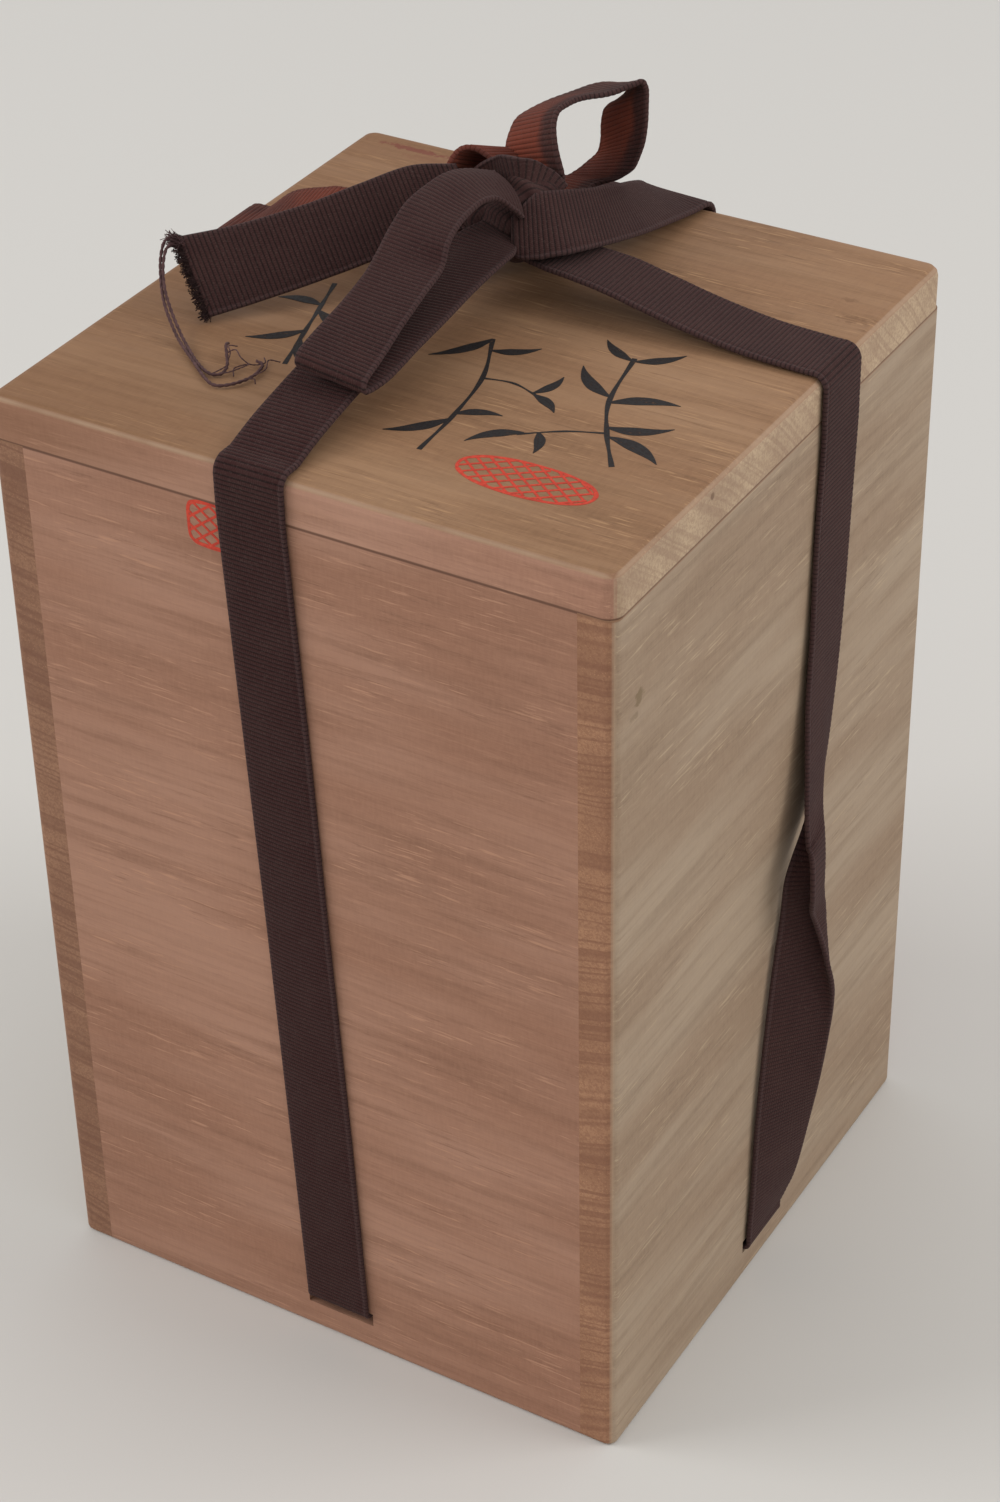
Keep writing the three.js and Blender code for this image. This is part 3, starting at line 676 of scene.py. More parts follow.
# Where the points lie across the cord: closer together at the woven edges
COLUMNS = mirrored((0, 0.28, 0.52, 0.7, 0.82, 0.86, 0.9, 0.95, 0.98, 1))
FINE_COLUMNS = mirrored(
    (0, 0.1, 0.2, 0.3, 0.4, 0.5, 0.6, 0.7, 0.76, 0.82, 0.86, 0.9, 0.95, 0.98, 1))
FOLD_REACH = 0.24


def cross_section(columns, curl, fold_at):
    """How far each column lies across the cord and out of it, in shares of its width, measured
    from the edge that stays down."""
    shares = np.linspace(0, 1, 81)
    bent = np.clip((shares[None, :] - fold_at[:, None]) / FOLD_REACH + 0.5, 0, 1)
    angle = curl[:, None] * bent ** 2 * (3 - 2 * bent)
    runs = []
    for slope in (-np.cos(angle), np.sin(angle)):
        steps = (slope[:, 1:] + slope[:, :-1]) / 2 / (len(shares) - 1)
        total = np.hstack([np.zeros((len(curl), 1)), np.cumsum(steps, axis=1)])
        runs.append(np.array([np.interp((1 - columns) / 2, shares, row) for row in total]))
    return runs


def flat_cord(name, stations, columns=COLUMNS, brown_side=0, flush=0):
    """A ribbed cord of the set width along the stations. Where warm light is painted on it, the
    edge on the high side keeps the given share of its brown. The last argument says how red the
    brown is: the cord's own red mottle, raised on the front-facing pieces as painted warm light
    from the left."""
    cord = settings("cord")
    even, along = even_stations(stations, cord.rib_pitch / 4)
    across = unit(even[:, ACROSS])
    tangent = unit(np.gradient(even[:, CENTRE], axis=0))
    normal = unit(np.cross(tangent, across))
    wide = (cord.width * even[:, SPREAD])[:, None]
    sideways, out = cross_section(columns, even[:, CURL], even[:, FOLD_AT])
    lift = np.where(columns < 0, even[:, LIFT_LOW, None], even[:, LIFT_HIGH, None]) * columns ** 2
    points = (even[:, None, CENTRE] + across[:, None] * ((0.5 + sideways) * wide)[..., None]
              + normal[:, None] * (out * wide + lift)[..., None]).reshape(-1, 3)
    rows, count = len(even), len(columns)
    faces = [(i + j, i + j + count, i + j + count + 1, i + j + 1)
             for i in range(0, (rows - 1) * count, count) for j in range(count - 1)]
    piece = new_piece(name, points, faces)
    store(piece.data, along=np.repeat(along, count), across=np.tile(columns, rows),
          to_end=np.repeat(np.minimum(along, along[-1] - along), count),
          fade=np.repeat(even[:, WARM_LIGHT], count), ribs=np.repeat(even[:, RIBS], count),
          brown_side=np.full(len(points), brown_side), flush=np.full(len(points), flush))
    baked(piece, "Woven cord", {
        "Width": cord.width, "Thickness": cord.thickness, "Rib Pitch": cord.rib_pitch,
        "Rib Height": cord.rib_height, "Rounding": cord.rounding,
        "Material": bpy.data.materials["woven_cord"]})
    return piece, (cord.width, float(along[-1]))


# For each face: the ways along and out of it, the slot's height and place, the cord's place at
# the lid's edge, how much painted warm light it has there, how red it is (its red mottle, raised
# on the front as painted warm light from the left), and its node under the floor
ENDS = {"along": (1, 0), "slot": UPPER_CORD_HEIGHT, "drift": END_SLOT_DRIFT}
SIDES = {"along": (0, 1), "slot": LOWER_CORD_HEIGHT, "drift": SIDE_SLOT_DRIFT}
FACES = {
    "front": {**ENDS, "out": (0, -1), "edge": -0.0074, "flush": 0.95,
              "under": ["under_cord_front_back"]},
    "back": {**ENDS, "out": (0, 1), "edge": -0.009},
    "left": {**SIDES, "out": (-1, 0), "edge": 0.015, "fade": 0.35},
    "right": {**SIDES, "out": (1, 0), "edge": 0.0191, "under": ["under_cord_left_right"]},
}


def on_face(face, along, out, height):
    away = HALF_BOX + out
    return (*(a * along + o * away for a, o in zip(face["along"], face["out"])), height)


def across_face(face, turn=0, lean=0):
    ways = zip(face["along"], face["out"])
    return (*(along * np.cos(turn) - out * np.sin(turn) for along, out in ways), lean)


# The right strand turns over on its way up. Share of the height, place of the edge that stays on
# the face in millimetres, its angle to the face in degrees, where the cord folds over lengthwise
# in millimetres from that edge and the angle of the rest, strength of the ribs.
RIGHT_RUN = (
    (0, -8.3, 0, 7, 0, 0.35), (0.02, -8.1, 5, 7, 5, 0.35), (0.062, -7.5, 14, 7, 14, 0.4),
    (0.177, -6.4, 30, 9, 31, 0.45), (0.283, -4, 40, 12.6, 60, 0.45),
    (0.362, -1.4, 38, 11.6, 150, 0.45), (0.426, 1.4, 38, 9.5, 184, 0.45),
    (0.474, 3, 56, 7.4, 174, 0.5), (0.519, 10.5, 98, 5, 172, 0.5),
    (0.562, 17.5, 150, 4.4, 171, 0.5), (0.664, 22, 174, 7, 176, 0.55),
    (0.767, 24.2, 178, 7, 178, 0.6), (0.87, 25.4, 180, 7, 180, 0.8), (0.969, 26.5, 180, 7, 180, 1),
    (1, 26.5, 180, 7, 180, 1),
)
# Share of the height, strength of the ribs, lift of the two edges in millimetres
PLAIN_RUN = (
    (0, 0.5, 0, 0), (0.25, 0.55, 0.3, 0.5), (0.5, 0.65, 0.5, 0.2), (0.75, 0.85, 0.2, 0.4),
    (1, 1, 0, 0),
)
# Strength of the ribs under the floor, where nothing shows
HIDDEN_RIBS = 0.35


def turned_rows(face, low, high):
    """The right strand's stations, folded and turned as its table says. The sixth column is
    empty, so that the ribs are among those that run straight."""
    wide = settings("cord").width
    rows = [(share, place / 1000, lean * pi / 180, fold_at / 1000 / wide, (rest - lean) * pi / 180,
             0, ribs) for share, place, lean, fold_at, rest, ribs in RIGHT_RUN]
    made = []
    for share, place, lean, fold_at, curl, _, ribs in smooth_stations(rows):
        centre = on_face(face, place + np.cos(lean) * wide / 2, CORD_REST + np.sin(lean) * wide / 2,
                         low + (high - low) * share)
        made.append(station(centre, across_face(face, pi - lean), ribs=ribs, curl=curl,
                            fold_at=fold_at))
    return made


def plain_rows(face, low, high):
    rows = []
    for share, ribs, lift_low, lift_high in PLAIN_RUN:
        along = face["drift"] + (face["edge"] - face["drift"]) * share
        fade = face.get("fade", 0) if share == 1 else 0
        rows.append(station(on_face(face, along, CORD_REST, low + (high - low) * share),
                            across_face(face), 1, fade, ribs, lift_low, lift_high))
    return smooth_stations(rows)


def strand_stations(face, turned):
    """From the middle of the underside through the slot, round its lip and up to the joint."""
    across = across_face(face, pi if turned else 0)
    way = [(out, 0) for out in np.linspace(-HALF_BOX, -BOARD_THICKNESS, 8)]
    way += [(CORD_REST - LIP_RADIUS + LIP_RADIUS * np.sin(angle), LIP_RADIUS * (1 - np.cos(angle)))
            for angle in np.linspace(0, pi / 2, 9)]
    made = [station(on_face(face, face["drift"], out, face["slot"] + rise), across,
                    ribs=HIDDEN_RIBS) for out, rise in way]
    low, high = face["slot"] + 2 * LIP_RADIUS, JOINT_HEIGHT - CORD_GAP / 2
    return np.vstack([made, (turned_rows if turned else plain_rows)(face, low, high)])


# Share of the way to the knot, height in grid steps, then as far as they differ from 1, 0, 1
# and 0: share of the width, painted warm light, ribs, lean
LID_ROUTES = {
    "front": (
        (0.09, 0.32), (0.19, 0.5), (0.28, 0.64), (0.36, 0.7), (0.5, 0.76), (0.72, 0.8, 0.95),
        (0.88, 0.84, 0.6), (0.97, 0.88, 0.42),
    ),
    "right": (
        (0.17, 0.15, 1, 0, 0.9), (0.34, 0.32, 1, 0, 0.8), (0.48, 0.52, 1, 0, 0.8),
        (0.6, 0.7, 1, 0, 0.8), (0.7, 0.78, 0.95, 0, 0.9), (0.79, 0.8, 0.85), (0.88, 0.8, 0.6),
        (0.95, 0.84, 0.42),
    ),
    "back": (
        (0.26, 0.22), (0.5, 0.4, 1, 0.2), (0.72, 0.56, 0.95, 0.4), (0.86, 0.66, 0.7, 0.4),
        (0.97, 0.84, 0.42, 0.4),
    ),
    "left": (
        (0.11, 0.4, 1, 0.45, 1, 0.25), (0.24, 0.62, 1, 0.7, 1, 0.25),
        (0.31, 0.71, 1, 0.75, 1, 0.22), (0.5, 0.74, 1, 0.75, 1, 0.12),
        (0.7, 0.74, 0.95, 0.6, 1, 0.05), (0.84, 0.76, 0.7, 0.4), (0.93, 0.84, 0.38, 0.3),
    ),
}
# How much painted warm light the cord has at the lid's edge, against the first row of its route
EDGE_WARM_LIGHT = 0.6


def lid_row(face, start, way, rise, spread=1, fade=0, ribs=1, lean=0):
    place = start.lerp(KNOT, way)
    place.z = LID_TOP + rise * GRID
    return station(place, across_face(face, 0, lean), spread, fade, ribs)


def lid_stations(face, route):
    """From the joint over the eased edge of the lid and along it to the knot."""
    radius = LID_EASING + CORD_REST
    fade = lid_row(face, KNOT, *route[0])[WARM_LIGHT] * EDGE_WARM_LIGHT
    way = [(CORD_REST, JOINT_HEIGHT + CORD_GAP / 2)]
    way += [(radius * np.cos(angle) - LID_EASING, LID_TOP - LID_EASING + radius * np.sin(angle))
            for angle in np.linspace(0, pi / 2, 11)]
    made = [station(on_face(face, face["edge"], out, height), across_face(face), fade=fade)
            for out, height in way]
    start = Vector(on_face(face, face["edge"], -LID_EASING - radius, LID_TOP + CORD_REST))
    rows = [station(start, across_face(face), fade=fade)]
    rows += [lid_row(face, start, *row) for row in route]
    return np.vstack([made, smooth_stations(rows)])


# Bow, in grid steps from the foot of the knot: place and width direction, then as far as they
# differ from 1, 0, 1, 0 and 0: share of the width, painted warm light, ribs, lift of the two edges
# in millimetres
LOOP_FRONT = (
    (0.03, 0.33, 1.56, 0.77, -0.3, -0.57, 0.75, 0, 0.7, -0.6, -0.3),
    (0.25, 0.15, 1.79, 0.78, -0.38, -0.5, 0.8, 0, 0.6, -1, -1),
    (0.42, -0.12, 2, 0.79, -0.43, -0.44, 0.82, 0, 0.5, -1.6, -1.4),
    (0.31, -0.38, 2.2, 0.82, -0.49, -0.3, 0.84, 0, 0.5, -1.8, -1),
    (0.1, -0.7, 2.34, 0.86, -0.45, -0.23, 0.84, 0, 0.5, -1.6, 0.2),
    (-0.03, -1.1, 2.38, 0.92, -0.35, -0.19, 0.86, 0, 0.5, -1.2, 0.5),
    (-0.11, -1.57, 2.31, 0.95, -0.27, -0.13, 0.9, 0, 0.55, -0.8, 0.5),
    (-0.13, -2.1, 2.2, 0.98, -0.18, -0.08, 0.93, 0, 0.6, -0.4, 0.4),
    (-0.08, -2.63, 2, 0.99, -0.12, 0, 0.96, 0.01, 0.6, 0, 0.3),
    (0.01, -3.1, 1.77, 0.98, 0.03, -0.12, 0.93, 0.01, 0.6, 0, 0.2),
    (0.1, -3.8, 1.59, 0.98, 0, -0.06, 0.9, 0.01, 0.7, 0.3, 0.2),
    (0.17, -4.73, 1.39, 0.98, 0, -0.08, 0.92, 0.01, 0.9, 0.3, 0.2),
    (0.2, -5.6, 1.19, 0.98, 0.05, -0.15, 0.98, 0.03),
    (0.24, -6.14, 1.08, 0.98, 0.05, -0.16, 1, 0.03), (0.27, -6.3, 0.96, 0.98, 0.05, -0.16, 1, 0.03),
    (0.29, -6.19, 0.85, 0.98, 0.05, -0.16, 1, 0.01), (0.38, -5.65, 0.87, 0.98, 0.08, -0.12),
    (0.36, -4.7, 0.94, 0.98, 0.1, -0.04), (0.32, -3.6, 1, 0.98, 0.1, 0),
    (0.26, -2.5, 1.08, 0.98, 0.1, 0), (0.27, -1.45, 1.15, 0.98, 0.1, 0, 0.97),
    (0.32, -0.85, 1.2, 0.96, -0.05, -0.1, 0.85), (0.3, -0.35, 1.2, 0.9, -0.2, -0.2, 0.6),
)
LOOP_UPRIGHT = (
    (0.22, 0.75, 1.35, 0.95, -0.22, 0.2, 0.45, 0.5),
    (0.22, 1.26, 1.61, 0.95, -0.22, 0.22, 0.9, 0.75), (0.17, 1.24, 1.82, 0.95, -0.22, 0.23, 1, 0.9),
    (0.09, 1.25, 2.08, 0.91, -0.22, 0.36, 1, 0.95), (0, 1.35, 2.34, 0.88, -0.23, 0.42, 1, 0.9),
    (-0.05, 1.51, 2.54, 0.85, -0.28, 0.44, 1, 0.8), (-0.06, 1.73, 2.7, 0.84, -0.33, 0.44, 1, 0.62),
    (0.03, 2.01, 2.77, 0.8, -0.42, 0.42, 1, 0.45), (0.18, 2.3, 2.83, 0.75, -0.53, 0.4, 1, 0.3),
    (0.35, 2.54, 2.86, 0.72, -0.59, 0.37, 1, 0.2), (0.53, 2.77, 2.88, 0.73, -0.6, 0.33, 1, 0.16),
    (0.69, 2.98, 2.91, 0.72, -0.62, 0.31, 1, 0.14), (0.85, 3.17, 2.94, 0.68, -0.65, 0.34, 1, 0.14),
    (1.02, 3.33, 2.94, 0.62, -0.67, 0.41, 1, 0.18), (1.16, 3.44, 2.92, 0.56, -0.68, 0.48, 1, 0.3),
    (1.15, 3.36, 2.78, 0.67, -0.53, 0.52, 1, 0.7), (1.08, 3.21, 2.65, 0.8, -0.31, 0.51, 1, 0.95),
    (1.08, 3.13, 2.4, 0.82, -0.24, 0.52, 1, 1), (1.09, 3.09, 2.08, 0.82, -0.23, 0.53, 1, 1),
    (1.04, 3.05, 1.73, 0.85, -0.25, 0.46, 1, 0.85), (0.9, 2.99, 1.46, 0.91, -0.17, 0.38, 1, 0.55),
    (0.74, 2.89, 1.22, 0.96, -0.07, 0.29, 1, 0.4), (0.49, 2.81, 1.05, 0.98, 0, 0.2, 0.88, 0.4),
    (0.1, 2.62, 0.98, 0.99, 0, 0.05, 0.8, 0.5), (0.2, 1.95, 0.92, 0.99, 0, 0, 0.85, 0.5),
    (0.24, 1.2, 0.94, 0.99, 0, 0, 0.65, 0.4), (0.25, 0.55, 1, 0.99, 0, 0, 0.5, 0.4),
)
TAIL_LEFT = (
    (-0.62, 0.03, 1.58, 0.58, -0.28, -0.77, 0.92), (-1.4, -0.4, 1.5, 0.58, -0.28, -0.77, 0.97),
    (-2.03, -1.29, 1.31, 0.58, -0.28, -0.77), (-2.7, -2.09, 1.08, 0.58, -0.28, -0.77),
    (-3.58, -3.12, 0.86, 0.58, -0.28, -0.77, 1.04), (-4.35, -4, 0.74, 0.58, -0.28, -0.77, 1.12),
)
TAIL_RIGHT = (
    (0.64, -0.46, 1.26, 0.31, -0.64, -0.71, 0.42), (0.76, -0.5, 1.3, 0.4, -0.6, -0.7, 0.62),
    (1.02, -0.17, 1.42, 0.46, -0.66, -0.59, 0.96), (1.35, 0.25, 1.4, 0.58, -0.66, -0.48),
    (1.6, 1.04, 1.23, 0.63, -0.67, -0.39, 0.99),
    (1.68, 2.15, 0.93, 0.73, -0.61, -0.31, 0.99, 0, 0.8),
    (1.55, 3.4, 0.54, 0.89, -0.41, -0.22, 0.99, 0, 0.6),
    (1.49, 4.15, 0.31, 0.97, -0.2, -0.15, 1, 0, 0.5),
    (1.51, 4.57, 0.18, 1, -0.01, -0.05, 1, 0, 0.7), (1.52, 4.79, -0.01, 1, -0.01, -0.04, 1, 0, 0.8),
    (1.53, 4.83, -0.38, 1, 0, -0.03, 1, 0, 0.8), (1.55, 4.83, -1.18, 1, 0, -0.03, 1, 0, 0.8),
    (1.58, 4.83, -1.98, 1, 0, -0.03, 1, 0, 0.8),
)
KNOT_WRAP = (
    (0.85, 0.57, 1.52, -0.07, -0.96, -0.28, 0.8, 0, 0.7, 0.6, 0.3),
    (0.76, 0.5, 1.73, 0.07, -0.92, -0.39, 0.75, 0, 0.7, 0.6, 0.3),
    (0.64, 0.48, 1.85, 0.18, -0.84, -0.52, 0.65, 0, 0.7, 0.6, 0.3),
    (0.51, 0.41, 1.92, 0.2, -0.64, -0.74, 0.65, 0, 0.7, 0.6, 0.3),
    (0.34, 0.36, 1.93, 0.23, -0.37, -0.9, 0.66, 0, 0.7, 0.6, 0.3),
    (0.07, 0.4, 1.94, 0.44, -0.39, -0.81, 0.65, 0, 0.7, 0.6, 0.3),
    (-0.22, 0.5, 1.84, 0.2, -0.13, -0.97, 0.6, 0, 0.7, 0.6, 0.3),
    (-0.5, 0.6, 1.66, 0.27, 0.2, -0.94, 0.62, 0.1, 0.7, 0.6, 0.3),
    (-0.78, 0.66, 1.42, 0.27, 0.29, -0.92, 0.62, 0.2, 0.7, 0.6, 0.3),
)
KNOT_FOLD = (
    (-0.9, -0.02, 0.92, 0.1, 0.95, 0.1, 0.7, 0.85), (-1.12, 0.42, 1.5, 0.1, 0.9, -0.3, 0.74, 0.95),
    (-1.04, 0.74, 2, 0.1, 0.85, -0.4, 0.74, 0.95), (-0.72, 0.9, 2.2, 0.15, 0.85, -0.35, 0.74, 0.9),
    (-0.3, 1.04, 2, 0.2, 0.85, -0.3, 0.74, 0.7), (0.08, 1.06, 1.62, 0.2, 0.85, -0.3, 0.74, 0.3),
)
# Folded inside of the knot: centre, then half sizes, in grid steps
KNOT_CORE = (
    (0.25, 0.25, 1.04, 0.86, 0.66, 0.64), (0.3, 0.6, 1.44, 0.68, 0.72, 0.62),
    (-0.4, 0.1, 1.17, 0.45, 0.42, 0.42),
)
CORE_VOXEL = 0.0005
# The ways along and across its ribs and across its shallow folds, and the folds' measures
CORE_ALONG, CORE_ACROSS, CORE_FOLDS = (0.75, -0.66, 0.2), (0.66, 0.75, 0.3), (2.2, 5.5, 4.5)
FOLD_HEIGHT, FOLD_RATE, FOLD_PHASE = 0.00035, 2.2, 1.1

# Loose yarns, in grid steps from the foot of the knot
LONG_YARN = (
    (-4.78, -3.76, 1.32), (-4.88, -3.86, 1.4), (-4.97, -3.98, 1.3), (-4.93, -4.18, 1.02),
    (-4.74, -4.46, 0.7), (-4.5, -4.72, 0.45), (-4.14, -5.02, 0.25), (-3.77, -5.3, 0.12),
    (-3.2, -5.71, 0.07), (-2.63, -6.15, 0.07), (-2.3, -6.3, 0.07), (-2.05, -6.12, 0.07),
    (-1.88, -5.7, 0.07), (-1.95, -5.25, 0.07), (-2.12, -5.2, 0.1),
)
SHORT_YARN = (
    (-4.74, -3.8, 1.2), (-4.82, -3.94, 1.3), (-4.88, -4.06, 1.2), (-4.82, -4.26, 0.94),
    (-4.62, -4.52, 0.66), (-4.36, -4.74, 0.42), (-4, -5.02, 0.22), (-3.62, -5.32, 0.12),
    (-3.05, -5.76, 0.07), (-2.62, -5.98, 0.07), (-2.44, -5.86, 0.07), (-2.5, -5.6, 0.1),
    (-2.7, -5.32, 0.16), (-2.86, -5.1, 0.2), (-2.92, -4.95, 0.14),
)
YARN_CURLS = (
    ((-2.5, -5.62, 0.12), (-2.56, -5.4, 0.24), (-2.68, -5.26, 0.3), (-2.62, -5.08, 0.22)),
    ((-2.6, -5.98, 0.07), (-2.42, -5.72, 0.18), (-2.6, -5.45, 0.24), (-2.46, -5.36, 0.32),
     (-2.26, -5.48, 0.26), (-2.1, -5.4, 0.12), (-1.98, -5.14, 0.06), (-2.08, -5, 0.08)),
    ((-2.05, -6.12, 0.07), (-1.9, -6, 0.12), (-1.74, -5.86, 0.14), (-1.66, -5.92, 0.08)),
    ((-2.44, -5.9, 0.08), (-2.24, -5.86, 0.16), (-2.06, -5.66, 0.22), (-2.14, -5.44, 0.14),
     (-2.34, -5.6, 0.08), (-2.2, -5.84, 0.06)),
    ((-1.9, -5.72, 0.07), (-1.72, -5.5, 0.16), (-1.8, -5.26, 0.22), (-1.68, -5.06, 0.12)),
)
YARN_STEP, CURL_STEP, CURL_RADIUS = 0.0003, 0.0002, 0.00014
# How round the two plies are, how deep the furrow between them is and how far it turns at each
# step, the sides of a yarn, and a direction that no yarn follows
PLY, FURROW, TWIST, PLY_SIDES, ASIDE = 0.84, 0.2, 1.44, 8, (0.3, 0.2, 0.93)
# Fringes of the cut end: name, seed, the share of the half width at which it ends, one in how
# many of the fibres, their length and radius, spread, material
FRINGES = (
    ("frayed_fibres", 7, 1, 1, 0.0012, 0.00007, 0.55, "cut_fibres"),
    ("frayed_corner", 9, -0.78, 7, 0.0022, 0.00006, 0.6, "cotton_yarn"),
)
# Where a fringe starts, how its roots scatter off the cord's plane and past its end, and how far
# it fans out
FRINGE_LOW, OFF_EDGE, PAST_END, FAN = -1.02, 0.0004, (-0.0008, 0.0005), 0.7


def from_knot(place):
    return KNOT + Vector(place) * GRID


def bow_stations(table):
    return smooth_stations([
        station(from_knot((x, y, z)), Vector((ax, ay, az)).normalized(), *rest)
        for x, y, z, ax, ay, az, *rest in table])


def yarn_path(table, spacing):
    rows = [station(from_knot(place), (0, 0, 1)) for place in table]
    even, along = even_stations(smooth_stations(rows), spacing)
    return even[:, CENTRE], float(along[-1])


def bow_piece(name, table, node, held, rests_on, **finish):
    piece, flat = flat_cord(name, bow_stations(table), **finish)
    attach(piece, "lid")
    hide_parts(node)


# Operators

class STORAGEBOX_OT_camera(Operator):
    """Set the camera where the photograph was taken from"""
    bl_idname = "storage_box.camera"
    bl_label = "Set the camera"

    def execute(self, context):
        camera = bpy.data.cameras.new("camera")
        camera.sensor_width, camera.lens, camera.clip_end = SENSOR_WIDTH, LENS, FAR_CLIP
        view = bpy.data.objects.new("camera", camera)
        context.scene.collection.objects.link(view)
        turn = Matrix((CAMERA_RIGHT, CAMERA_UP, CAMERA_BACK)).transposed().to_4x4()
        view.matrix_world = Matrix.Translation(CAMERA_PLACE) @ turn
        context.scene.camera = view
        return {"FINISHED"}


class STORAGEBOX_OT_finishes(Operator):
    """Build the cord and yarn finishes and the trees that shape the cord"""
    bl_idname = "storage_box.finishes"
    bl_label = "Build the finishes"

    def execute(self, context):
        cord = settings("cord")
        cord_weave()
        cord_material()
        yarn_material("cotton_yarn", tuple(cord.loose))
        yarn_material("cut_fibres", tinted(cord.brown, 0.6, 0.5, 0.5))
        woven_cord_tree()
        fringe_tree()
        return {"FINISHED"}


class STORAGEBOX_OT_strands(Operator):
    """Run the cord from the knot over each edge, down each face and under the floor"""
    bl_idname = "storage_box.strands"
    bl_label = "Tie the four strands"

    def execute(self, context):
        for side, face in FACES.items():
            turned = side == "right"
            stations = np.vstack([strand_stations(face, turned),
                                  lid_stations(face, LID_ROUTES[side])])
            piece, flat = flat_cord("cord_" + side, stations, FINE_COLUMNS if turned else COLUMNS,
                                    flush=face.get("flush", 0.1))
            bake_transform(piece)
            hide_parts(side + "_strand", "lid_strand_" + side, *face.get("under", ()))
            side + "_board"
        return {"FINISHED"}


class STORAGEBOX_OT_bow(Operator):
    """Make the knot, the two loops and the two tails of the bow"""
    bl_idname = "storage_box.bow"
    bl_label = "Tie the bow"

    def execute(self, context):
        lid = ["lid_panel"]
        bow_piece("bow_loop_front", LOOP_FRONT, "loop_front", "folded", ["cord_front"], flush=0.5)
        bow_piece("bow_loop_upright", LOOP_UPRIGHT, "loop_upright", "folded", lid, brown_side=0.9)
        bow_piece("bow_tail_left", TAIL_LEFT, "tail_left", "laid", lid)
        bow_piece("bow_tail_right", TAIL_RIGHT, "tail_right", "laid", lid)
        core = self.core()
        bow_piece("knot_fold", KNOT_FOLD, "knot", "folded", lid)
        wrap, flat = flat_cord("knot_wrap", bow_stations(KNOT_WRAP))
        for piece in (wrap, core):
            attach(piece, "lid")
            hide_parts("knot")
        return {"FINISHED"}

    def core(self):
        """The cord's folded inside, which shows only between its turns."""
        core = new_piece("knot_folds", ())
        mesh = bmesh.new()
        for x, y, z, a, b, c in KNOT_CORE:
            size = Matrix.Diagonal((a * GRID, b * GRID, c * GRID, 1))
            bmesh.ops.create_uvsphere(mesh, u_segments=32, v_segments=20, radius=1,
                                      matrix=Matrix.Translation(from_knot((x, y, z))) @ size)
        mesh.to_mesh(core.data)
        mesh.free()
        remesh = core.modifiers.new("one body", "REMESH")
        remesh.mode, remesh.voxel_size = "VOXEL", CORE_VOXEL
        evaluated(core, remesh)
        joined = core.data
        points = np.array([v.co for v in joined.vertices])
        normals = np.array([v.normal for v in joined.vertices])
        place = (points - np.array(KNOT)) / GRID
        folds = FOLD_HEIGHT * np.sin(place @ np.array(CORE_FOLDS) * FOLD_RATE + FOLD_PHASE)
        points = points + normals * folds[:, None]
        joined.vertices.foreach_set("co", points.astype(np.float32).ravel())
        # The ribs stay clear of where a cord has its woven edges
        along = (place @ np.array(CORE_ALONG)) * GRID
        across = np.clip(place @ np.array(CORE_ACROSS) * 0.9, -0.8, 0.8)
        store(joined, along=along, across=across, fade=along * 0, ribs=along * 0 + 0.8)
        joined.shade_smooth()
        joined.materials.append(bpy.data.materials["woven_cord"])
        return core


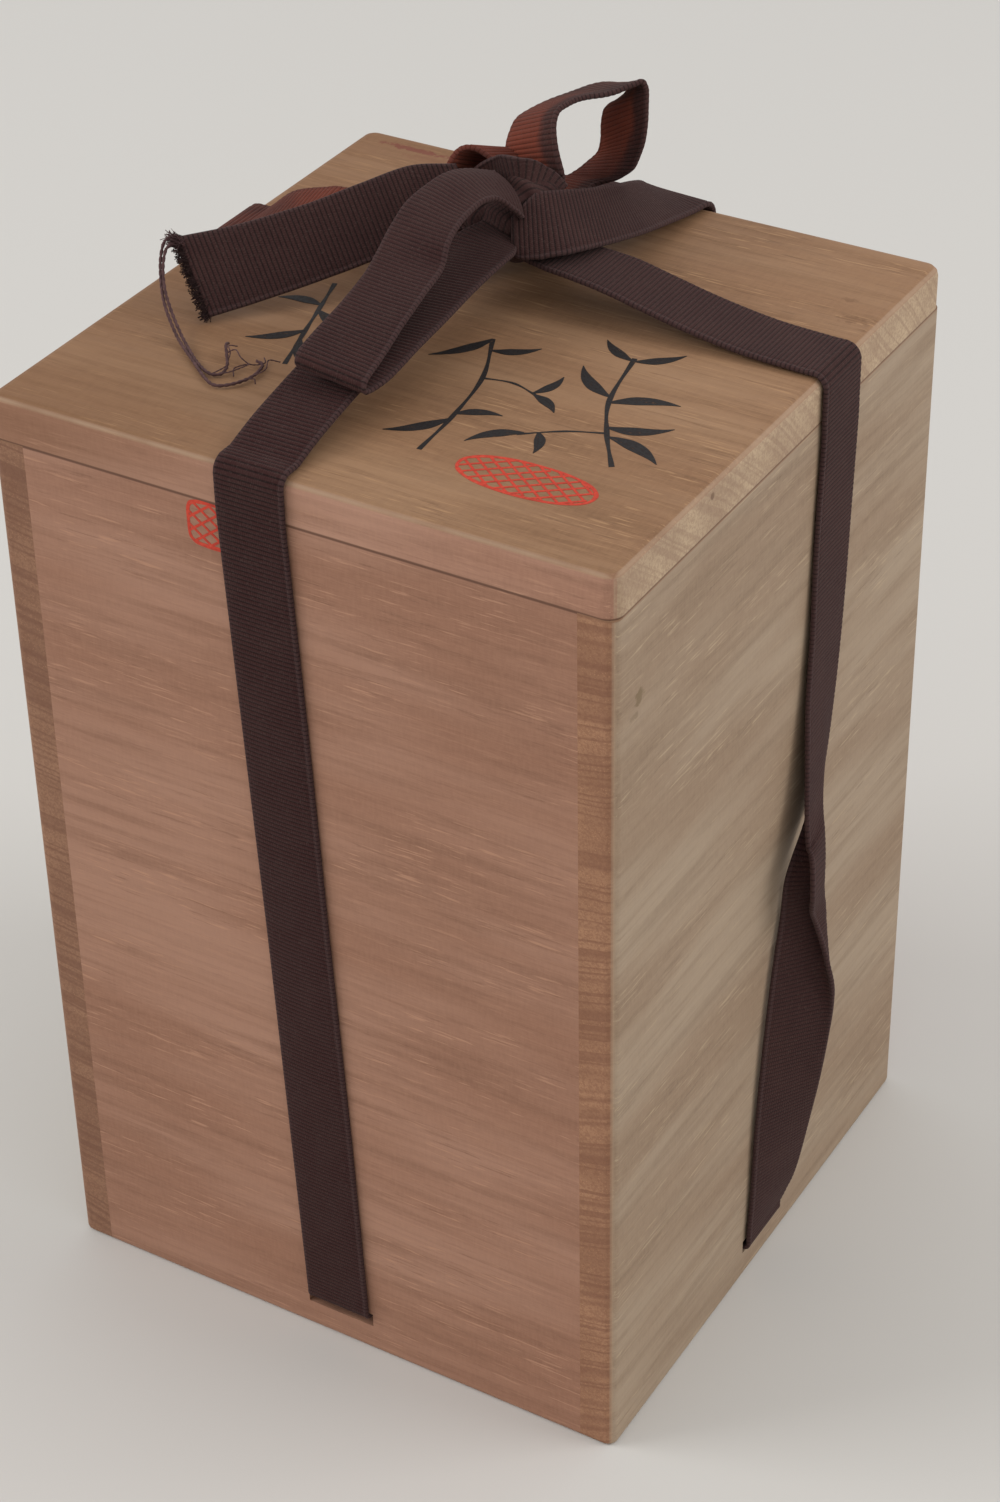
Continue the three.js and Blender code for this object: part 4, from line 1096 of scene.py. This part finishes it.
class STORAGEBOX_OT_yarns(Operator):
    """Let the loose yarns and fibres hang from the frayed end"""
    bl_idname = "storage_box.yarns"
    bl_label = "Fray the end"

    def execute(self, context):
        thick = settings("cord").yarn
        for name, table in (("yarn_long", LONG_YARN), ("yarn_short", SHORT_YARN)):
            path, run = yarn_path(table, YARN_STEP)
            piece = self.twisted(name, [path], thick / 2)
            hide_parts("loose_" + name)
        curls = [yarn_path(table, CURL_STEP)[0] for table in YARN_CURLS]
        self.twisted("yarn_curls", curls, CURL_RADIUS)
        self.fringe()
        return {"FINISHED"}

    def twisted(self, name, paths, radius):
        """Two plies twisted about each other along each path."""
        sides = PLY_SIDES
        points, faces = [], []
        for path in paths:
            first = len(points)
            tangent = unit(np.gradient(path, axis=0))
            side = unit(np.cross(tangent, ASIDE))
            other = np.cross(tangent, side)
            for i, centre in enumerate(path):
                for k in range(sides):
                    angle = 2 * pi * k / sides
                    reach = radius * (PLY + FURROW * np.cos(2 * angle - i * TWIST))
                    points.append(centre + reach * (side[i] * np.cos(angle)
                                                    + other[i] * np.sin(angle)))
            last = len(points)
            points += [path[0], path[-1]]
            faces += [(i + k, i + (k + 1) % sides, i + sides + (k + 1) % sides, i + sides + k)
                      for i in range(first, last - sides, sides) for k in range(sides)]
            faces += [(first + (k + 1) % sides, first + k, last) for k in range(sides)]
            faces += [(last - sides + k, last - sides + (k + 1) % sides, last + 1)
                      for k in range(sides)]
        piece = new_piece(name, points, faces)
        turn_outwards(piece.data)
        piece.data.shade_smooth()
        piece.data.materials.append(bpy.data.materials["cotton_yarn"])
        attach(piece, "lid")
        return piece

    def fringe(self):
        """Short fibres all along the cut end of the left tail."""
        cord = settings("cord")
        stations = bow_stations(TAIL_LEFT)
        end, before = stations[-1], stations[-8]
        outwards = unit(end[CENTRE] - before[CENTRE])
        across = unit(end[ACROSS])
        normal = unit(np.cross(outwards, across))
        rng = np.random.default_rng(11)
        for name, seed, high, part, length, radius, spread, finish in FRINGES:
            shares = np.sort(rng.uniform(FRINGE_LOW, high, cord.fibres // part))
            points = [end[CENTRE] + across * share * cord.width / 2 * end[SPREAD]
                      + normal * rng.normal(0, OFF_EDGE) + outwards * rng.uniform(*PAST_END)
                      for share in shares]
            piece = new_piece(name, points)
            fanned = outwards + across * (shares ** 3 * FAN)[:, None]
            field = piece.data.attributes.new("outwards", "FLOAT_VECTOR", "POINT")
            field.data.foreach_set("vector", fanned.astype(np.float32).ravel())
            baked(piece, "Fringe", {
                "Fibre Length": length, "Fibre Radius": radius, "Spread": spread, "Seed": seed,
                "Material": bpy.data.materials[finish]})
            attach(piece, "lid")


# Middle and reach in metres, colour, strength
LID_STAINS = (
    ((0.0606, 0.0362, 0.2073), (0.0036, 0.0016, 0.004), (112, 78, 52), 0.5),
    ((0.0567, 0.0433, 0.2073), (0.0016, 0.0009, 0.004), (112, 78, 52), 0.4),
    ((-0.0523, 0.0611, 0.2073), (0.0095, 0.0011, 0.004), (118, 58, 46), 0.75),
    ((-0.047, 0.0585, 0.2073), (0.006, 0.002, 0.004), (130, 84, 62), 0.35),
    ((0.066, -0.0313, 0.2051), (0.003, 0.0009, 0.0007), (96, 70, 52), 0.6),
)
# Darker patches on the right side board where it has a small dent: painted shade in the dent's
# hollow
SIDE_DENT_SHADE = (
    ((0.066, -0.0574, 0.1785), (0.003, 0.0017, 0.0021), (118, 98, 70), 0.7),
    ((0.066, -0.0592, 0.1755), (0.003, 0.0016, 0.0009), (122, 102, 78), 0.5),
)
# Colour of the line at the joint under the lid
BROWN_SEAM, LIGHT_SEAM = (88, 58, 44), (140, 104, 78)


class STORAGEBOX_OT_wood(Operator):
    """Give each board its own cut of paulownia"""
    bl_idname = "storage_box.wood"
    bl_label = "Finish the wood"

    def execute(self, context):
        wood = settings("wood")
        paulownia_grain()
        edge_wear_and_highlight()
        front = {"side": wood.front, "end": wood.side_end, "streaks": 0.5, "rings": 0.16,
                 "dashes": 0.75, "end_rings": 0.4, "order": "XZY"}
        left = {"side": wood.side, "end": wood.side_end, "streaks": 0.42, "rings": 0.11,
                "dashes": 0.75, "end_rings": 0.6, "ring": 2.2, "order": "YZX"}
        right = {**left, "end": tinted(wood.side_end, 1.22, 1.2, 1.14), "stains_and_dent_shade": SIDE_DENT_SHADE}
        lid = {"side": wood.lid, "edge": wood.lid_edge, "end": wood.lid_end, "darker_left": 0.42,
               "streaks": 0.52, "rings": 0.22, "dashes": 0.9, "end_rings": 0.36, "order": "XYZ",
               "stains_and_dent_shade": LID_STAINS}
        inner = {"side": wood.inner, "end": wood.side_end, "streaks": 0.3, "rings": 0.15,
                 "dashes": 0.35, "end_rings": 0.5, "order": "XYZ"}
        inner_side = {**inner, "order": "YXZ"}
        for node, cut, pith, offset, seam in (
                ("front_board", front, (60, 150), (0, 0, 0), BROWN_SEAM),
                ("back_board", front, (90, 130), (300, 40, 500), BROWN_SEAM),
                ("right_board", right, (260, -140), (70, 0, 0), LIGHT_SEAM),
                ("left_board", left, (300, 120), (900, 0, 0), LIGHT_SEAM),
                ("lid_panel", lid, (190, 30), (40, 20, 0), BROWN_SEAM),
                ("floor_board", inner, (150, 60), (500, 0, 9), None),
                ("lid_batten_front", inner, (40, 90), (120, 7, 0), None),
                ("lid_batten_back", inner, (70, 90), (620, 7, 0), None),
                ("lid_batten_left", inner_side, (50, 70), (220, 3, 0), None),
                ("lid_batten_right", inner_side, (30, 80), (720, 3, 0), None)):
            made = wood_material(node + "_wood", {**cut, "pith": pith, "offset": offset}, seam)
            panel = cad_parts[node]
            panel.data.materials.clear()
            panel.data.materials.append(made)
        return {"FINISHED"}


def stroke_band(spine, widths, closed=False):
    """Points left and right of a line in a plane, and each one's distance along it."""
    if closed:
        ahead = np.roll(spine, -1, axis=0) - np.roll(spine, 1, axis=0)
    else:
        ahead = np.gradient(spine, axis=0)
    side = unit(np.column_stack([-ahead[:, 1], ahead[:, 0]])) * (np.asarray(widths) / 2)[:, None]
    steps = np.linalg.norm(np.diff(spine, axis=0), axis=1)
    return spine + side, spine - side, np.concatenate([[0], np.cumsum(steps)]), closed


# How much higher the last stroke of a mark stands than the first, as a share of the film, and
# how far apart two strokes lie in the ink's texture
STROKE_RISE, STROKE_STEP = 0.6, 3.7


def ink_piece(name, bands, on_surface, finish):
    """One thin closed film for each band, sunk a little into the wood that carries it."""
    film = settings("mark").film
    points, faces, along, stroke = [], [], [], []
    for number, (left, right, run, closed) in enumerate(bands):
        first, count = len(points), len(left)
        top = film * (1 + STROKE_RISE * number / len(bands))
        for near, far in zip(left, right):
            points += [on_surface(*place, height) for place, height in (
                (near, top), (far, top), (far, -film), (near, -film))]
        along += list(np.repeat(run, 4))
        stroke += [number * STROKE_STEP] * count * 4
        for i in range(count if closed else count - 1):
            a, b = first + i * 4, first + (i + 1) % count * 4
            faces += [(a + k, b + k, b + (k + 1) % 4, a + (k + 1) % 4) for k in range(4)]
        if not closed:
            last = first + (count - 1) * 4
            faces += [(first, first + 1, first + 2, first + 3),
                      (last + 3, last + 2, last + 1, last)]
    piece = new_piece(name, points, faces)
    store(piece.data, along=along, across=np.tile((-1, 1, 1, -1), len(points) // 4), stroke=stroke)
    turn_outwards(piece.data)
    piece.data.materials.append(bpy.data.materials[finish])
    return piece


def on_lid(across, along, height):
    return across, along, LID_TOP + height


def on_front(across, height, out):
    return across, -HALF_BOX - out, height


# Bamboo sprigs on the lid, in millimetres. Stems: points and width. Leaves: root, tip, bend, width.
STEMS = (
    (((47.5, -34), (41, -24), (35.5, -13), (32, 3)), 0.85),
    (((14.5, -45), (13.6, -32), (11, -17), (5, -3)), 0.8),
    (((-24, -30), (-27.6, -18), (-30.5, -8), (-33.5, 2)), 0.8),
    (((41, -24), (34, -27), (27, -32)), 0.5),
    (((11, -17), (17, -16), (23, -18)), 0.5),
)
LEAVES = (
    (42, -25, 54, -29.5, 1.2, 2.6), (40, -22, 51, -17, -1.3, 2.4), (36, -14, 48, -9, 1.2, 2.5),
    (35, -12, 25, -4, 1.3, 2.3), (32.5, 2, 40, 8.5, -0.9, 2.1), (32, 2, 24, 7, 0.8, 1.9),
    (28, -31, 20, -38.5, -1.2, 2.2), (30, -29.5, 33, -36.5, 0.7, 1.8),
    (22.5, -18, 29, -22, 0.7, 1.9), (22, -17.5, 24, -9.5, -0.9, 1.8), (13.5, -33, 5, -42, 1.1, 2.3),
    (13.4, -31, 21.5, -27.5, 1, 1.9), (7, -7, 15, -2, -1, 2), (5, -3, -2.5, -14, 1.1, 2.2),
    (-27, -20, -19, -29.5, -1, 2), (-28, -17, -36.5, -24.5, 1, 2.2), (-31, -7, -40, -8, -1, 2.1),
    (-30.4, -9, -22.5, -16, 0.9, 2),
)
# How wide a leaf is along its length
LEAF_SHARES = ((0, 0.2), (0.12, 0.6), (0.35, 1.15), (0.6, 1), (0.82, 0.5), (1, 0.06))
# How much a stem swells between its points
STEM_SWELL = 0.25
# Middle, half sizes and power of the curve round each lattice, in millimetres
LID_STAMP = (36.6, -45.2, 13.6, 5.4, 2.2)
FRONT_STAMP = (-15.2, 193.3, 6.6, 4.5, 5.0)
# Slope of its lines, and how near the curve they end
LATTICE_SLOPE, LATTICE_EDGE = 0.75, 0.96


def leaf(root_x, root_y, tip_x, tip_y, bend, width):
    root, tip = np.array((root_x, root_y)), np.array((tip_x, tip_y))
    side = unit(np.array((root[1] - tip[1], tip[0] - root[0])))
    rows = [(*(root + (tip - root) * share + side * bend * 4 * share * (1 - share)), width * wide,
             0, 0, 0) for share, wide in LEAF_SHARES]
    smooth = smooth_stations(rows, 8) / 1000
    return stroke_band(smooth[:, :2], smooth[:, 2])


def stem(points, width):
    smooth = smooth_stations([(*point, 0) for point in points], 12) / 1000
    joints = np.cos(np.linspace(0, 2 * pi * (len(points) - 1), len(smooth)))
    return stroke_band(smooth[:, :2], (1 + STEM_SWELL * joints) * width / 1000)


def stamped_lattice(middle_x, middle_y, half_x, half_y, power):
    """A closed curve filled with crossing slanted lines."""
    marks = settings("mark")
    middle = np.array((middle_x, middle_y))
    turn = np.linspace(0, 2 * pi, 96, endpoint=False)
    curve = np.column_stack([np.sign(wave) * np.abs(wave) ** (2 / power) * half
                             for wave, half in ((np.cos(turn), half_x), (np.sin(turn), half_y))])
    # The line round it is uneven, as if cut by hand
    uneven = 1 + 0.16 * np.sin(turn * 3 + 0.6) + 0.08 * np.sin(turn * 11)
    bands = [stroke_band((middle + curve) / 1000, marks.frame_line * uneven, closed=True)]
    reach = half_x + half_y
    ways = np.linspace(-reach, reach, 241)[:, None]
    for slope in (-LATTICE_SLOPE, LATTICE_SLOPE):
        direction = unit(np.array((1, slope)))
        for shift in np.arange(-reach, reach, marks.lattice_pitch * 1000):
            line = np.array((shift, 0)) + ways * direction
            far = (np.abs(line / (half_x, half_y)) ** power).sum(axis=1)
            kept = line[far < LATTICE_EDGE]
            if len(kept) > 8:
                kept = kept[::4]
                widths = [marks.lattice_line] * len(kept)
                bands.append(stroke_band((middle + kept) / 1000, widths))
    return bands


class STORAGEBOX_OT_marks(Operator):
    """Brush bamboo sprigs on the lid and stamp two red lattices"""
    bl_idname = "storage_box.marks"
    bl_label = "Brush and stamp the marks"

    def execute(self, context):
        marks, wood = settings("mark"), settings("wood")
        brushed, stamped = "brushed_ink", "stamped_ink"
        ink_material(brushed, tuple(marks.ink), tinted(wood.lid, 0.55, 0.5, 0.45), 0.5)
        ink_material(stamped, tuple(marks.stamp), tinted(wood.lid_edge, 1, 0.8, 0.7), 0.6)
        sprigs = [stem(*row) for row in STEMS] + [leaf(*row) for row in LEAVES]
        for name, bands, surface, finish, body, slot in (
                ("lid_sprigs", sprigs, on_lid, brushed, "lid", "lid_wood"),
                ("lid_lattice", stamped_lattice(*LID_STAMP), on_lid, stamped, "lid", "lid_wood"),
                ("front_lattice", stamped_lattice(*FRONT_STAMP), on_front, stamped, "box",
                 "case_wood")):
            piece = ink_piece(name, bands, surface, finish)
            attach(piece, body)
        return {"FINISHED"}


# Half the floor's size and the side of a lamp, in metres
FLOOR_REACH, LAMP_SIZE = 6, 0.9
LAMPS = {"left": (-1.3, -0.85, 1.15), "right": (1.35, 0.55, 1)}
LAMP_AIM = Vector((0, 0, 0.12))
# Strength of the background where the camera sees it
BACKDROP = 0.75


class STORAGEBOX_OT_stage(Operator):
    """Lay a plain pale floor and hang plain soft light"""
    bl_idname = "storage_box.stage"
    bl_label = "Set the stage"

    def execute(self, context):
        stage = settings("stage")
        far = FLOOR_REACH
        floor = new_piece("floor", [(-far, -far, 0), (far, -far, 0), (far, far, 0), (-far, far, 0)],
                          [(0, 1, 2, 3)])
        made, nodes, shader = material("floor_paper", 0.9)
        nodes.fill(shader, {"Base Color": tuple(stage.floor)})
        floor.data.materials.append(made)
        world = bpy.data.worlds.new("studio")
        world.use_nodes = True
        nodes = Nodes(world.node_tree)
        path = nodes.all("ShaderNodeLightPath")
        mirrored_too = nodes.math("MAXIMUM", path["Is Glossy Ray"], path["Is Transmission Ray"])
        seen = nodes.math("MAXIMUM", path["Is Camera Ray"], mirrored_too)
        nodes.fill(world.node_tree.nodes["Background"].inputs, {
            "Color": (1, 1, 1), "Strength": seen.ramp(0, 1, stage.sky, BACKDROP, kind="LINEAR")})
        context.scene.world = world
        for side, place in LAMPS.items():
            name = side + "_lamp"
            lamp = bpy.data.lights.new(name, "AREA")
            lamp.shape = "RECTANGLE"
            lamp.size = lamp.size_y = LAMP_SIZE
            lamp.energy = getattr(stage, side)
            hung = bpy.data.objects.new(name, lamp)
            context.scene.collection.objects.link(hung)
            hung.location = place
            hung.rotation_euler = (LAMP_AIM - hung.location).to_track_quat("-Z", "Y").to_euler()
        context.scene.view_settings.view_transform = "Standard"
        return {"FINISHED"}


OPERATORS = (STORAGEBOX_OT_camera, STORAGEBOX_OT_finishes, STORAGEBOX_OT_strands, STORAGEBOX_OT_bow,
             STORAGEBOX_OT_yarns, STORAGEBOX_OT_wood, STORAGEBOX_OT_marks, STORAGEBOX_OT_stage)
GROUPS = {"cord": CordSettings, "wood": WoodSettings, "mark": MarkSettings, "stage": StageSettings}


class STORAGEBOX_PT_panel(Panel):
    """Lists the steps that dress the box, and their sizes and colours"""
    bl_label = "Storage box"
    bl_space_type = "VIEW_3D"
    bl_region_type = "UI"
    bl_category = "Storage box"

    def draw(self, context):
        for name, group in GROUPS.items():
            box = self.layout.box()
            box.label(text=name.capitalize())
            for word in group.__annotations__:
                box.prop(settings(name), word)
        for operator in OPERATORS:
            self.layout.operator(operator.bl_idname)


CLASSES = (*GROUPS.values(), *OPERATORS, STORAGEBOX_PT_panel)


def register():
    for made in CLASSES:
        bpy.utils.register_class(made)
    for name, group in GROUPS.items():
        setattr(bpy.types.Scene, "storage_box_" + name, PointerProperty(type=group))


def unregister():
    for name in GROUPS:
        delattr(bpy.types.Scene, "storage_box_" + name)
    for made in reversed(CLASSES):
        bpy.utils.unregister_class(made)


def main():
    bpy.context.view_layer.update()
    register()
    bpy.ops.storage_box.camera()
    bpy.ops.storage_box.finishes()
    bpy.ops.storage_box.strands()
    bpy.ops.storage_box.bow()
    bpy.ops.storage_box.yarns()
    bpy.ops.storage_box.wood()
    bpy.ops.storage_box.marks()
    bpy.ops.storage_box.stage()


if __name__ == "__main__":
    main()
